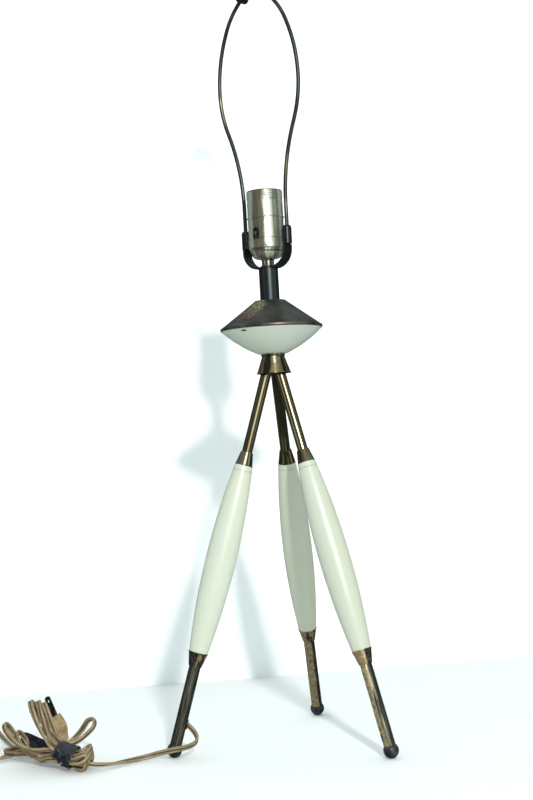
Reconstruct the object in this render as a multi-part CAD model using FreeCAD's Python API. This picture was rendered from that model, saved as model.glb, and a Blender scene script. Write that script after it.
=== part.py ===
import FreeCAD, Part
import math
import os

# A tripod table lamp of the 1950s. Three legs of brass tube and turned wood meet under a
# tapered collar. A hollow threaded rod rises from the leg hub through a double-cone disc
# and a post, and carries the harp saddle and a turn-switch lamp socket. A flat twin lead
# leaves one leg near its foot and lies beside the lamp in a tied hank that ends in a plug.
# Millimetres, +Z up. The lamp's axis is parallel to Z, the back leg points to +Y, and the
# origin is on the floor at the middle of the box that the stand fills.

# ---- feet and legs, measured along the leg from the middle of its ball ----
ball_r = 6.7
ball_flat = 0.3             # worn flat under each ball
leg_tilt = 17.47            # degrees from upright
leg_azimuths = {"back": 90.0, "left": 210.0, "right": 330.0}
tube_tip_gap = 1.02         # between two legs' tubes, at their tips in the hub
lower_tube_r = 5.2
lower_tube_wall = 0.8
lower_tube_seat = 3.9       # lower tube's end above the middle of the ball
lower_tube_length = 71.0    # bare length, up to the lower ferrule
lower_ferrule_length = 12.6
lower_ferrule_nose = 0.75   # ferrule's small end, proud of the tube
spindle_length = 171.3
spindle_lower_r = 8.5
spindle_middle_r = 13.85
spindle_upper_r = 8.2
spindle_bore_r = 3.4
upper_ferrule_length = 12.6
upper_ferrule_nose = 0.85
upper_tube_r = 4.75
upper_tube_wall = 0.8
upper_tube_length = 73.9    # bare length, up to the collar's lower edge
tube_socket_depth = 20.0    # tube inside the spindle's end
ferrule_wall = 0.8
ferrule_lip_r = 0.4         # ferrule's lip, proud of the spindle's end
tenon_length = 2.0          # spindle's end inside the ferrule
ball_stem_length = 9.0

# ---- collar and leg hub ----
collar_tube_gap = 2.07      # round the tubes, at the collar's lower edge
collar_upper_r = 10.5
collar_height = 18.3
collar_wall = 0.8
collar_bead_r = 0.55
hub_lift = 2.0              # hub's underside above the collar's lower edge
tube_in_hub = 5.0           # tube's end above the collar's lower edge
hub_chamber_r = 6.6
hub_chamber_height = 7.0
spigot_length = 13.0
spigot_bore_r = 2.9

# ---- disc: two spun shells, rim to rim ----
disc_r = 46.9
disc_lower_height = 22.2
disc_lower_flat_r = 13.6
disc_lower_bulge = 1.7      # how far the lower shell's side is bowed outwards
disc_upper_height = 24.0
disc_upper_flat_r = 13.7
disc_rim_height = 2.8
disc_wall = 0.9

# ---- centre rod, post and nuts ----
rod_r = 4.85
rod_bore_r = 3.1
rod_in_hub = 4.5
post_r = 8.9
post_wall = 0.8
post_length = 29.2
disc_nut_wall = 3.15        # from the nut's hole to its corners
disc_nut_height = 3.4
neck_nut_wall = 0.85
neck_nut_height = 7.4

# ---- socket, built outwards from the lamp's screw shell ----
socket_cap_height = 17.1
socket_cap_wall = 0.6
cap_bushing_wall = 2.15
cap_bushing_height = 7.0
socket_shell_height = 45.0
socket_shell_wall = 0.5
shell_fit_gap = 0.1         # between the shell's lower edge and the cap
shell_step = 0.4            # shell's side, proud of its lower edge
shell_in_cap = 6.0          # shell's lower edge inside the cap
shell_bead_height = 20.3    # bead above the shell's visible lower edge
shell_thread_height = 37.5  # first of the shade-ring threads
shell_thread_pitch = 1.6
shell_thread_count = 4
notch_width = 7.4
notch_height = 10.6
insulator_wall = 0.5
screw_shell_r = 13.55
screw_shell_lip = 0.5
screw_shell_wall = 0.4
screw_shell_depth = 0.65    # thread's depth
screw_shell_pitch = 3.63
screw_shell_height = 27.0
screw_shell_turns = 6
socket_body_shoulder = 0.75 # core, proud of the screw shell
socket_body_gap = 0.5       # between the core and the fibre sleeve
socket_body_height = 18.0
socket_body_lift = 8.6      # body's underside above the cap's bottom
switch_shaft_r = 1.6
switch_running_gap = 0.05
switch_height = 22.4        # shaft's axis above the cap's bottom
switch_cam_r = 3.2
contact_rivet_r = 1.6
set_screw_r = 2.0

# ---- harp and saddle ----
harp_azimuth = -23.3        # the harp's plane, degrees about Z
set_screw_turn = -34.0      # cap's set screw, from the switch, degrees about Z
socket_side_gap = 1.85      # between the socket's cap and a harp sleeve
saddle_bend_r = 16.0
saddle_thickness = 2.0
saddle_width = 11.0
saddle_ear_height = 20.5    # ear's shoulder above the saddle's underside
tongue_height = 10.0
tongue_thickness = 1.3
tongue_width = 4.4
harp_wire_r = 1.8
harp_wire_offset = 0.6      # wire's axis outside the sleeve's axis
harp_straight_top = 57.8    # top of the wire's upright stretch above the saddle's underside
harp_flare_r = 200.0
harp_flare_angle = 21.45
harp_shoulder_r = 109.0
harp_crown_r = 139.0
harp_crown_angle = 24.2
harp_top_r = 70.0
harp_top_angle = 48.0
harp_end_run = 3.0
sleeve_r = 4.45
sleeve_height = 16.5
sleeve_bore_r = 3.55
sleeve_top_wall = 3.0
bridge_knuckle_r = 4.4
bridge_length = 9.0
bridge_thickness = 2.2
finial_thread_r = 3.05
finial_thread_length = 13.0
finial_shoulder_r = 6.0

# ---- lead ----
cord_r = 2.5
lead_r = 2.1
exit_station = 24.0         # exit's middle, measured along the leg
exit_angle = 63.8           # between the leg's axis and the exit's axis
grommet_wall = 0.65
lead_end = 3.5              # inner lead meets the outer one this far inwards of the leg's axis
exit_run = 13.5             # first corner of the outer lead, the same way

# ---- plug: body, and two blades ----
plug_length = 24.0
plug_width = 22.0
plug_depth = 13.0
blade_length = 18.5
blade_width = 6.35
blade_thickness = 1.5
blade_half_gap = 6.35
blade_root = 6.0            # blade inside the body
blade_hole_r = 1.6
blade_splay = 13.0          # each blade, bent outwards

seat_gap = 0.2              # clearance where one piece sits round or in another

os.makedirs("parts", exist_ok=True)

V = FreeCAD.Vector
UP = V(0, 0, 1)
ORIGIN = V(0, 0, 0)

# ---- where the lead, its hank and its plug lie, in the row's frame ----
cord_points = [
    V(-73.5, -85.0, 14.5),
    V(-79.0, -96.0, 12.0),
    V(-92.0, -97.5, 10.0),
    V(-108.0, -95.0, 6.0),
    V(-121.0, -98.5, 3.2),
    V(-132.0, -109.0, 2.8),
    V(-143.0, -121.0, 3.2),
    V(-153.5, -129.5, 5.0),
    V(-162.0, -131.5, 7.0),
]
plug_base = V(-198.0, -88.0, 14.5)
plug_lean = V(-12.5, -2.9, 21.4)
plug_turn = 67.0
hank_tie_at = V(-176.5, -129.5, 12.6)
hank_tie_along = V(-0.88, 0.16, 0.40)
hank_tie_r = 9.4
hank_tie_wall = 1.2
hank_tie_width = 18.0
hank_lobes = [
    # end, radius at the tie, radius at the end
    (V(-201.0, -123.0, 47.0), 9.4, 13.0),
    (V(-226.5, -112.5, 25.0), 9.4, 14.0),
    (V(-176.0, -93.5, 24.0), 9.0, 12.0),
    (V(-190.0, -98.0, 13.5), 9.0, 10.5),
    (V(-164.0, -131.0, 11.0), 9.2, 9.5),
]
hank_loop_end = V(-297.0, -89.0, 0)
hank_loop_r = 38.0
hank_loop_height = 9.0
hank_loop_foot = 9.0

tilt = math.radians(leg_tilt)
leg_circle_r = (2 * upper_tube_r + tube_tip_gap) / math.sqrt(3) + tube_in_hub * math.tan(tilt)
collar_lower_r = leg_circle_r + upper_tube_r / math.cos(tilt) + collar_tube_gap + collar_wall
lower_ferrule_small_r = lower_tube_r + lower_ferrule_nose
upper_ferrule_small_r = upper_tube_r + upper_ferrule_nose
exit_hole_r = cord_r + grommet_wall + 0.05
lower_ferrule_at = lower_tube_seat + lower_tube_length
spindle_at = lower_ferrule_at + lower_ferrule_length
upper_ferrule_at = spindle_at + spindle_length
upper_tube_at = upper_ferrule_at + upper_ferrule_length
leg_end = upper_tube_at + upper_tube_length
foot_circle_r = leg_circle_r + leg_end * math.sin(tilt)
axis_y = -foot_circle_r / 4

collar_z = ball_r - ball_flat + leg_end * math.cos(tilt)
disc_z = collar_z + collar_height
rim_z = disc_z + disc_lower_height
post_z = rim_z + disc_rim_height - 0.3 + disc_upper_height
saddle_z = post_z + post_length
neck_z = saddle_z + saddle_thickness
cap_z = neck_z + neck_nut_height
shell_z = cap_z + socket_cap_height
body_z = cap_z + socket_body_lift
body_top_z = body_z + socket_body_height
rod_hole_r = rod_r + seat_gap
disc_nut_r = rod_hole_r + disc_nut_wall
neck_nut_r = rod_hole_r + neck_nut_wall
cap_bushing_r = rod_hole_r + cap_bushing_wall
screw_shell_root_r = screw_shell_r - screw_shell_wall
screw_shell_crest_r = screw_shell_root_r - screw_shell_depth
socket_body_r = screw_shell_r + socket_body_shoulder
insulator_r = socket_body_r + socket_body_gap + insulator_wall
shell_foot_r = insulator_r + seat_gap + socket_shell_wall
socket_shell_r = shell_foot_r + shell_step
socket_cap_r = shell_foot_r + shell_fit_gap + socket_cap_wall
saddle_half_width = socket_cap_r + socket_side_gap + sleeve_r
harp_axis = saddle_half_width + harp_wire_offset
rod_bottom_z = disc_z - collar_wall - rod_in_hub
chamber_z = collar_z + tube_in_hub + 0.5


def ring(points):
    """A solid turned about Z. A point is (r, z); (r, z, r2, z2) adds an arc through the first pair."""
    edges = []
    here = V(points[0][0], 0, points[0][1])
    first = here
    for point in points[1:]:
        there = V(point[-2], 0, point[-1])
        if len(point) == 4:
            edges.append(Part.Arc(here, V(point[0], 0, point[1]), there).toShape())
        else:
            edges.append(Part.LineSegment(here, there).toShape())
        here = there
    edges.append(Part.LineSegment(here, first).toShape())
    return Part.Face(Part.Wire(edges)).revolve(ORIGIN, UP, 360)


def tube(outer, inner, low, high):
    """A straight pipe about Z."""
    body = Part.makeCylinder(outer, high - low, V(0, 0, low))
    return body.cut(Part.makeCylinder(inner, high - low + 2, V(0, 0, low - 1)))


def bow(start, end, height):
    """The point that an arc from start to end passes, height outside the middle of its chord."""
    dr = end[0] - start[0]
    dz = end[1] - start[1]
    chord = math.hypot(dr, dz)
    r = (start[0] + end[0]) / 2 + height * dz / chord
    z = (start[1] + end[1]) / 2 - height * dr / chord
    return r, z


def leg_place(azimuth):
    """From a leg's own frame, Z up its axis and -X inwards, to the lamp's."""
    turn = FreeCAD.Placement(V(0, axis_y, 0), FreeCAD.Rotation(UP, azimuth))
    lean = FreeCAD.Rotation(V(0, 1, 0), -leg_tilt)
    return turn.multiply(FreeCAD.Placement(V(foot_circle_r, 0, ball_r - ball_flat), lean))


def placed(shape, place):
    shape = shape.copy()
    shape.Placement = place.multiply(shape.Placement)
    return shape


def on_axis(shape, azimuth=0.0):
    """From the lamp's axis to the row's frame, turned about Z."""
    return placed(shape, FreeCAD.Placement(V(0, axis_y, 0), FreeCAD.Rotation(UP, azimuth)))


def swept(wire, radius):
    """A round solid along a wire of lines and tangent arcs."""
    start = wire.Edges[0]
    at = start.valueAt(start.FirstParameter)
    along = start.tangentAt(start.FirstParameter)
    rim = Part.Wire([Part.Circle(at, along, radius).toShape()])
    shell = Part.BRepOffsetAPI.MakePipeShell(wire)
    shell.add(rim)
    shell.build()
    shell.makeSolid()
    return shell.shape()


def route(points, name, radius):
    """A lead's tube: straight runs joined by tangent arcs, each as large as its runs allow."""
    edges = []
    here = points[0]
    radii = []
    for before, corner, after in zip(points, points[1:], points[2:]):
        back = before - corner
        on = after - corner
        half_turn = (math.pi - back.getAngle(on)) / 2
        reach = 0.45 * min(back.Length, on.Length)
        radii.append(reach / math.tan(half_turn))
        back.normalize()
        on.normalize()
        first = corner + back * reach
        last = corner + on * reach
        inside = back + on
        inside.normalize()
        depth = radii[-1] * (1 / math.cos(half_turn) - 1)
        edges.append(Part.LineSegment(here, first).toShape())
        edges.append(Part.Arc(first, corner + inside * depth, last).toShape())
        here = last
    edges.append(Part.LineSegment(here, points[-1]).toShape())
    wire = Part.Wire(edges)
    solid = swept(wire, radius)
    drawn = math.pi * radius ** 2 * wire.Length
    print(name, "length", round(wire.Length, 1), "radii", [round(r, 1) for r in radii])
    print(name, "volume", round(solid.Volume, 1), "section x length", round(drawn, 1))
    return solid


# ---- one leg, in its own frame ----

def ball_foot():
    """A rubber ball with a stem that plugs the tube."""
    # the worn flat is level on the floor, so the cut allows for the leg's lean
    down = V(-math.sin(tilt), 0, -math.cos(tilt))
    ball = Part.makeSphere(ball_r, ORIGIN, down)
    ball = ball.cut(Part.makeCylinder(2 * ball_r, ball_r, V(0, 0, lower_tube_seat)))
    stem_r = lower_tube_r - lower_tube_wall - seat_gap
    stem = Part.makeCylinder(stem_r, ball_stem_length, V(0, 0, lower_tube_seat))
    cutter = Part.makeCylinder(ball_r, ball_r, down * (ball_r - ball_flat), down)
    return ball.fuse(stem).cut(cutter)


def exit_axis():
    """The exit's middle on the leg's axis, and its direction, inwards and down."""
    angle = math.radians(exit_angle)
    direction = V(-math.sin(angle), 0, -math.cos(angle))
    rise = lower_tube_r / math.tan(angle)
    return V(0, 0, exit_station + rise), direction


def lower_tube(with_exit):
    low = lower_tube_seat
    high = spindle_at + tube_socket_depth
    pipe = tube(lower_tube_r, lower_tube_r - lower_tube_wall, low, high)
    # the butted seam of the rolled tube is a shallow groove down its outer face
    seam = Part.makeBox(0.5, 0.4, high - low + 2, V(lower_tube_r - 0.25, -0.2, low - 1))
    seam.rotate(ORIGIN, UP, 250)
    pipe = pipe.cut(seam)
    if with_exit:
        at, direction = exit_axis()
        pipe = pipe.cut(Part.makeCylinder(exit_hole_r, 3 * lower_tube_r, at, direction))
    return pipe


def lower_ferrule():
    low = lower_ferrule_at
    high = spindle_at
    top_r = spindle_lower_r + ferrule_lip_r
    inner = lower_tube_r + seat_gap
    neck_r = top_r - ferrule_wall - 0.3
    return ring([
        (inner, low), (lower_ferrule_small_r, low),
        (spindle_lower_r - 0.1, high - 1.4), (top_r, high - 0.9),
        (top_r + 0.15, high - 0.45, top_r, high),
        (neck_r, high), (neck_r, high - tenon_length - seat_gap),
        (inner, low + 3.0),
    ])


def spindle():
    low = spindle_at
    high = upper_ferrule_at
    middle = (low + high) / 2
    tenon_low = spindle_lower_r + ferrule_lip_r - ferrule_wall - 0.3 - seat_gap
    tenon_high = spindle_upper_r - 1.0
    wood = ring([
        (0, low - tenon_length), (tenon_low, low - tenon_length), (tenon_low, low),
        (spindle_lower_r, low),
        (spindle_middle_r, middle, spindle_upper_r, high),
        (tenon_high, high), (tenon_high, high + tenon_length), (0, high + tenon_length),
    ])
    wood = wood.cut(Part.makeCylinder(spindle_bore_r, high - low + 10, V(0, 0, low - 5)))
    lower_socket = Part.makeCylinder(lower_tube_r + seat_gap, tube_socket_depth + 5.3, V(0, 0, low - 5))
    upper_socket = Part.makeCylinder(
        upper_tube_r + seat_gap, tube_socket_depth + 5.3, V(0, 0, high - tube_socket_depth - 0.3))
    return wood.cut(lower_socket).cut(upper_socket)


def upper_ferrule():
    low = upper_ferrule_at
    high = upper_tube_at
    inner = upper_tube_r + seat_gap
    neck_r = spindle_upper_r - 1.0 + seat_gap
    return ring([
        (neck_r, low), (spindle_upper_r, low),
        (spindle_upper_r - 0.35, low + 1.0), (upper_ferrule_small_r, high - 0.3),
        (upper_ferrule_small_r - 0.3, high), (inner, high),
        (inner, high - 3.0), (neck_r, low + tenon_length + seat_gap),
    ])


def upper_tube():
    low = upper_ferrule_at - tube_socket_depth
    high = leg_end + tube_in_hub / math.cos(tilt)
    return tube(upper_tube_r, upper_tube_r - upper_tube_wall, low, high)


def cord_grommet():
    """A rubber bush snapped into the tube's exit hole."""
    at, direction = exit_axis()
    reach = 3 * lower_tube_r
    outside = tube(lower_tube_r + 0.95, lower_tube_r + 0.05, -50, 100)
    wall = tube(lower_tube_r + 0.05, lower_tube_r - lower_tube_wall - 0.5, -50, 100)
    flange = outside.common(Part.makeCylinder(exit_hole_r + 0.7, reach, at, direction))
    sleeve = wall.common(Part.makeCylinder(exit_hole_r - 0.05, reach, at, direction))
    bore = Part.makeCylinder(cord_r + 0.05, reach, at, direction)
    return flange.fuse(sleeve).cut(bore)


# ---- hub, collar and disc, about the lamp's axis ----

def collar_inner_r(z):
    """The collar's inner radius at height z."""
    share = (z - collar_z) / collar_height
    return collar_lower_r + (collar_upper_r - collar_lower_r) * share - collar_wall


def collar_skirt():
    top = disc_z
    low_r = collar_lower_r
    high_r = collar_upper_r
    ceiling = top - collar_wall
    skirt = ring([
        (low_r - collar_wall, collar_z), (low_r, collar_z),
        (low_r + collar_bead_r, collar_z + collar_bead_r, low_r - 0.1, collar_z + 2 * collar_bead_r),
        (high_r - 0.2, top - 2.6), (high_r + 0.3, top - 2.2),
        (high_r + 0.6, top - 1.1, high_r + 0.3, top),
        (rod_hole_r, top), (rod_hole_r, ceiling), (collar_inner_r(ceiling), ceiling),
    ])
    return skirt


def leg_hub():
    low = collar_z + hub_lift
    top = disc_z - collar_wall
    fit = seat_gap + 0.1
    hub = ring([
        (0, low), (collar_inner_r(low) - fit, low),
        (collar_inner_r(top) - fit, top), (0, top),
    ])
    hub = hub.cut(Part.makeCylinder(rod_hole_r, 30, V(0, 0, chamber_z)))
    chamber = Part.makeCylinder(hub_chamber_r, hub_chamber_height, V(0, 0, chamber_z))
    hub = hub.cut(chamber)
    for azimuth in leg_azimuths.values():
        place = FreeCAD.Placement(V(0, -axis_y, 0), FreeCAD.Rotation()).multiply(leg_place(azimuth))
        end = leg_end + tube_in_hub / math.cos(tilt)
        socket = Part.makeCylinder(upper_tube_r + seat_gap, 30, V(0, 0, end - 30))
        spigot_r = upper_tube_r - upper_tube_wall - seat_gap
        spigot = Part.makeCylinder(spigot_r, spigot_length, V(0, 0, end - spigot_length))
        bore = Part.makeCylinder(spigot_bore_r, spigot_length + 6, V(0, 0, end - spigot_length - 1))
        hub = hub.cut(placed(socket, place)).fuse(placed(spigot, place))
        hub = hub.cut(placed(bore, place))
    return hub


def disc_lower_shell():
    """White shell: a flat floor and a bowed side up to the rim."""
    edge_r = disc_r - disc_wall - seat_gap
    edge_z = rim_z + disc_rim_height - 0.3 - disc_wall - seat_gap
    foot = (disc_lower_flat_r, disc_z)
    knee = (edge_r, rim_z - 0.6)
    inner_knee = (edge_r - disc_wall, rim_z - 0.4)
    inner_foot = (disc_lower_flat_r - 0.3, disc_z + disc_wall)
    return ring([
        (rod_hole_r, disc_z), foot,
        bow(foot, knee, disc_lower_bulge) + knee,
        (edge_r, edge_z), (edge_r - disc_wall, edge_z), inner_knee,
        bow(inner_knee, inner_foot, -disc_lower_bulge) + inner_foot,
        (rod_hole_r, disc_z + disc_wall),
    ])


def disc_upper_shell():
    """Bronze shell: a rolled rim, a straight cone and a flat top."""
    rim_top = rim_z + disc_rim_height - 0.3
    inner_r = disc_r - disc_wall
    return ring([
        (inner_r, rim_z), (disc_r - 0.3, rim_z),
        (disc_r, rim_z + disc_rim_height / 2, disc_r - 0.3, rim_top),
        (disc_r - 1.2, rim_top + 0.35),
        (disc_upper_flat_r + 1.2, post_z - 0.75),
        (disc_upper_flat_r + 0.7, post_z - 0.15, disc_upper_flat_r - 0.3, post_z),
        (rod_hole_r, post_z), (rod_hole_r, post_z - disc_wall),
        (disc_upper_flat_r - 0.6, post_z - disc_wall),
        (inner_r - 1.6, rim_top - disc_wall), (inner_r, rim_top - disc_wall),
    ])


def hex_nut(radius, height, z, bore):
    corners = []
    for step in range(7):
        angle = math.radians(60 * step)
        corners.append(V(radius * math.cos(angle), radius * math.sin(angle), z))
    prism = Part.Face(Part.makePolygon(corners)).extrude(V(0, 0, height))
    return prism.cut(Part.makeCylinder(bore, height + 2, V(0, 0, z - 1)))


def centre_rod():
    """The hollow rod, from the hub to the socket's cap; its thread is left plain."""
    top = cap_z + cap_bushing_height
    return tube(rod_r, rod_bore_r, rod_bottom_z, top)


def neck_nut():
    """A round brass nut with a waist between two beads."""
    low = neck_z
    high = cap_z
    r = neck_nut_r
    return ring([
        (rod_hole_r, low), (r, low), (r + 0.4, low + 0.8, r, low + 1.6),
        (r - 0.3, low + 2.0), (r - 0.3, high - 2.0), (r, high - 1.6),
        (r + 0.4, high - 0.8, r, high), (rod_hole_r, high),
    ])


# ---- socket ----

def socket_cap():
    """A spun cap with a turned-in bead and a threaded bushing in its floor."""
    z = cap_z
    r = socket_cap_r
    w = socket_cap_wall
    top = z + socket_cap_height
    cap = ring([
        (rod_hole_r, z), (cap_bushing_r + 1.0, z), (r - 3.8, z + 1.6, r - 2.1, z + 5.6),
        (r - 1.2, z + 6.5, r - 1.8, z + 7.7), (r - 0.5, z + 8.8),
        (r, z + 9.6), (r, top - 0.8), (r - 0.1, top), (r - w, top),
        (r - w, z + 10.0), (r - 2.7, z + 7.7), (r - 2.8, z + 6.0),
        (r - 4.3, z + 2.6, cap_bushing_r + 1.4, z + 1.2),
        (cap_bushing_r, z + 1.2), (cap_bushing_r, z + cap_bushing_height),
        (rod_hole_r, z + cap_bushing_height),
    ])
    hole = Part.makeCylinder(set_screw_r + 0.05, 20, V(0, 0, z + 4.2), V(1, 0, 0))
    hole.rotate(ORIGIN, UP, set_screw_turn)
    return cap.cut(hole)


def notch_cutter():
    """The switch notch: an upright slot with a round top, cut from the axis outwards."""
    half = notch_width / 2
    low = shell_z - shell_in_cap - 1
    top = shell_z + notch_height - half
    slot = Part.makeBox(30, notch_width, top - low, V(0, -half, low))
    return slot.fuse(Part.makeCylinder(half, 30, V(0, 0, top), V(1, 0, 0)))


def socket_shell():
    """The brass shell: a bead half way up and the rings of the shade thread near its mouth."""
    r = socket_shell_r
    w = socket_shell_wall
    top = shell_z + socket_shell_height
    bead = shell_z + shell_bead_height
    thread = shell_z + shell_thread_height
    in_cap = shell_foot_r
    points = [
        (in_cap - w, shell_z - shell_in_cap), (in_cap, shell_z - shell_in_cap),
        (in_cap, shell_z + 0.4), (r, shell_z + 1.1),
        (r, bead - 0.9), (r + 0.7, bead, r, bead + 0.9),
        (r, thread - 2.4), (r - 0.45, thread - 1.9), (r - 0.45, thread - 1.3), (r - 0.1, thread - 0.8),
    ]
    points.append((r - 0.1, thread))
    for turn in range(shell_thread_count):
        at = thread + turn * shell_thread_pitch
        points.append((r + 0.25, at + shell_thread_pitch / 2, r - 0.1, at + shell_thread_pitch))
    points += [
        (r - 0.1, top - 0.5), (r - 0.3, top), (r - w - 0.3, top),
        (r - w - 0.3, thread - 1.5), (r - w - 0.1, thread - 2.8), (r - w - 0.1, shell_z + 1.5),
        (in_cap - w, shell_z + 0.8),
    ]
    return ring(points).cut(notch_cutter())


def insulator_sleeve():
    """The fibre sleeve that lines the shell."""
    low = shell_z + 1.0
    high = shell_z + socket_shell_height - 1.5
    sleeve = tube(insulator_r, insulator_r - insulator_wall, low, high)
    return sleeve.cut(notch_cutter())


def socket_body():
    """The moulded core with the switch's chamber, its bearing and two screw seats."""
    body = Part.makeCylinder(socket_body_r, socket_body_height, V(0, 0, body_z))
    shaft_z = cap_z + switch_height
    chamber = Part.makeCylinder(switch_cam_r + 0.4, 11.0, V(-0.5, 0, shaft_z), V(1, 0, 0))
    bearing = Part.makeCylinder(switch_shaft_r + switch_running_gap, 30, V(0, 0, shaft_z), V(1, 0, 0))
    lead_way = Part.makeCylinder(3.6, 14.0, V(0, 0, body_z - 1))
    rivet_way = Part.makeCylinder(contact_rivet_r + seat_gap / 2, socket_body_height, V(0, 0, body_z + 1))
    body = body.cut(chamber).cut(bearing).cut(lead_way).cut(rivet_way)
    for side in (90, -90):
        seat = Part.makeBox(4, 9, 9, V(socket_body_r - 2.6, -4.5, body_z - 1))
        seat.rotate(ORIGIN, UP, side)
        body = body.cut(seat)
    return body


def terminal_screws():
    """Two binding screws, one at each side of the core."""
    pieces = []
    for side in (90, -90):
        head_at = socket_body_r - 2.6 + 0.1
        head = Part.makeCylinder(3.1, 1.7, V(head_at, 0, body_z + 4), V(1, 0, 0))
        slot = Part.makeBox(1.0, 8, 0.7, V(head_at + 1.2, -4, body_z + 3.65))
        head = head.cut(slot)
        head.rotate(ORIGIN, UP, side)
        pieces.append(head)
    return Part.makeCompound(pieces)


def screw_shell():
    """The lamp's threaded shell: rings at the thread's pitch over a floor with a round window."""
    low = body_top_z + 0.1
    top = low + screw_shell_height
    points = [(8.0, low), (screw_shell_r, low), (screw_shell_r, top - 1.0),
              (screw_shell_r + screw_shell_lip, top - 0.5, screw_shell_r, top), (screw_shell_root_r, top)]
    at = low + 3.0 + screw_shell_turns * screw_shell_pitch
    points.append((screw_shell_root_r, at))
    for turn in range(screw_shell_turns):
        points.append((screw_shell_crest_r, at - 0.9))
        points.append((screw_shell_crest_r, at - 2.3))
        points.append((screw_shell_root_r, at - screw_shell_pitch))
        at -= screw_shell_pitch
    points += [(screw_shell_root_r, low + 0.5), (8.0, low + 0.5)]
    return ring(points)


def centre_contact():
    """A brass button on a rivet in the middle of the core."""
    seat = body_top_z
    return ring([
        (0, seat - 3.0), (contact_rivet_r, seat - 3.0), (contact_rivet_r, seat + 0.1),
        (4.6, seat + 0.1), (4.6, seat + 0.7), (3.4, seat + 1.9, 1.4, seat + 2.5), (0, seat + 2.5),
    ])


def switch_shaft():
    """The turn switch's shaft with its square cam, and a slot across its outer end."""
    shaft_z = cap_z + switch_height
    out = socket_shell_r + 0.9
    shaft = Part.makeCylinder(switch_shaft_r, out - 2.0, V(2.0, 0, shaft_z), V(1, 0, 0))
    cam = Part.makeBox(3.6, 4.2, 4.2, V(5.0, -2.1, shaft_z - 2.1))
    slot = Part.makeBox(2.0, 0.7, 6.0, V(out - 1.2, -0.35, shaft_z - 3))
    return shaft.fuse(cam).cut(slot)


def set_screw():
    """The grub screw that locks the cap on the rod."""
    screw = Part.makeCylinder(set_screw_r, 10.0, V(rod_r + 0.1, 0, cap_z + 4.2), V(1, 0, 0))
    slot = Part.makeBox(1.6, 0.7, 6, V(rod_r + 0.1 + 9.0, -0.35, cap_z + 1.2))
    screw = screw.cut(slot)
    screw.rotate(ORIGIN, UP, set_screw_turn)
    return screw


# ---- harp, with X along its plane ----

def saddle():
    """A bent strap with a tongue at each end for the harp's sleeves."""
    z = saddle_z
    t = saddle_thickness
    u = saddle_half_width
    bend = saddle_bend_r
    inner = bend - t / 2
    outer = bend + t / 2
    cx = u - bend
    cz = z + t / 2 + bend
    ear = z + saddle_ear_height
    mid = math.radians(45)
    half = [
        Part.LineSegment(V(0, 0, z), V(cx, 0, z)).toShape(),
        Part.Arc(V(cx, 0, z), V(cx + outer * math.sin(mid), 0, cz - outer * math.cos(mid)),
                 V(cx + outer, 0, cz)).toShape(),
        Part.LineSegment(V(cx + outer, 0, cz), V(cx + outer, 0, ear)).toShape(),
        Part.LineSegment(V(cx + outer, 0, ear), V(cx + inner, 0, ear)).toShape(),
        Part.LineSegment(V(cx + inner, 0, ear), V(cx + inner, 0, cz)).toShape(),
        Part.Arc(V(cx + inner, 0, cz), V(cx + inner * math.sin(mid), 0, cz - inner * math.cos(mid)),
                 V(cx, 0, z + t)).toShape(),
        Part.LineSegment(V(cx, 0, z + t), V(0, 0, z + t)).toShape(),
        Part.LineSegment(V(0, 0, z + t), V(0, 0, z)).toShape(),
    ]
    arm = Part.Face(Part.Wire(half)).extrude(V(0, saddle_width, 0))
    arm.translate(V(0, -saddle_width / 2, 0))
    tongue_x = u - 2.6
    tongue = Part.makeBox(tongue_thickness, tongue_width, tongue_height + 4,
                          V(tongue_x, -tongue_width / 2, ear - 4))
    step = Part.makeBox(u + 1 - tongue_x, tongue_width, 1.2, V(tongue_x, -tongue_width / 2, ear - 4))
    arm = arm.fuse(tongue).fuse(step)
    other = arm.mirror(ORIGIN, V(1, 0, 0))
    boss = Part.makeCylinder(saddle_width / 2 + 2.0, t, V(0, 0, z))
    whole = arm.fuse(other).fuse(boss)
    return whole.cut(Part.makeCylinder(rod_hole_r, 10, V(0, 0, z - 1))).removeSplitter()


def harp_wire():
    """One half of the harp: an upright end, a flare, the shoulder and the crown, all tangent."""
    start_z = saddle_z + saddle_ear_height + 0.5
    here = V(harp_axis, 0, start_z)
    up = V(harp_axis, 0, saddle_z + harp_straight_top)
    edges = [Part.LineSegment(here, up).toShape()]
    heading = 0.0
    here = up
    bends = [
        (harp_flare_r, harp_flare_angle),
        (harp_shoulder_r, -harp_flare_angle),
        (harp_crown_r, -harp_crown_angle),
        (harp_top_r, harp_crown_angle - harp_top_angle),
    ]
    for radius, turn in bends:
        side = 1 if turn > 0 else -1
        points = []
        for share in (0.5, 1.0):
            angle = math.radians(heading + turn * share)
            begin = math.radians(heading)
            dx = side * radius * (math.cos(begin) - math.cos(angle))
            dz = side * radius * (math.sin(angle) - math.sin(begin))
            points.append(here + V(dx, 0, dz))
        edges.append(Part.Arc(here, points[0], points[1]).toShape())
        here = points[1]
        heading += turn
    angle = math.radians(heading)
    end = here + V(math.sin(angle), 0, math.cos(angle)) * harp_end_run
    edges.append(Part.LineSegment(here, end).toShape())
    return swept(Part.Wire(edges), harp_wire_r), end


def knuckle_place(end):
    """The knuckle's axis, a little past the end of the wire."""
    return V(end.x - 0.6, 0, end.z + 0.6)


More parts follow.
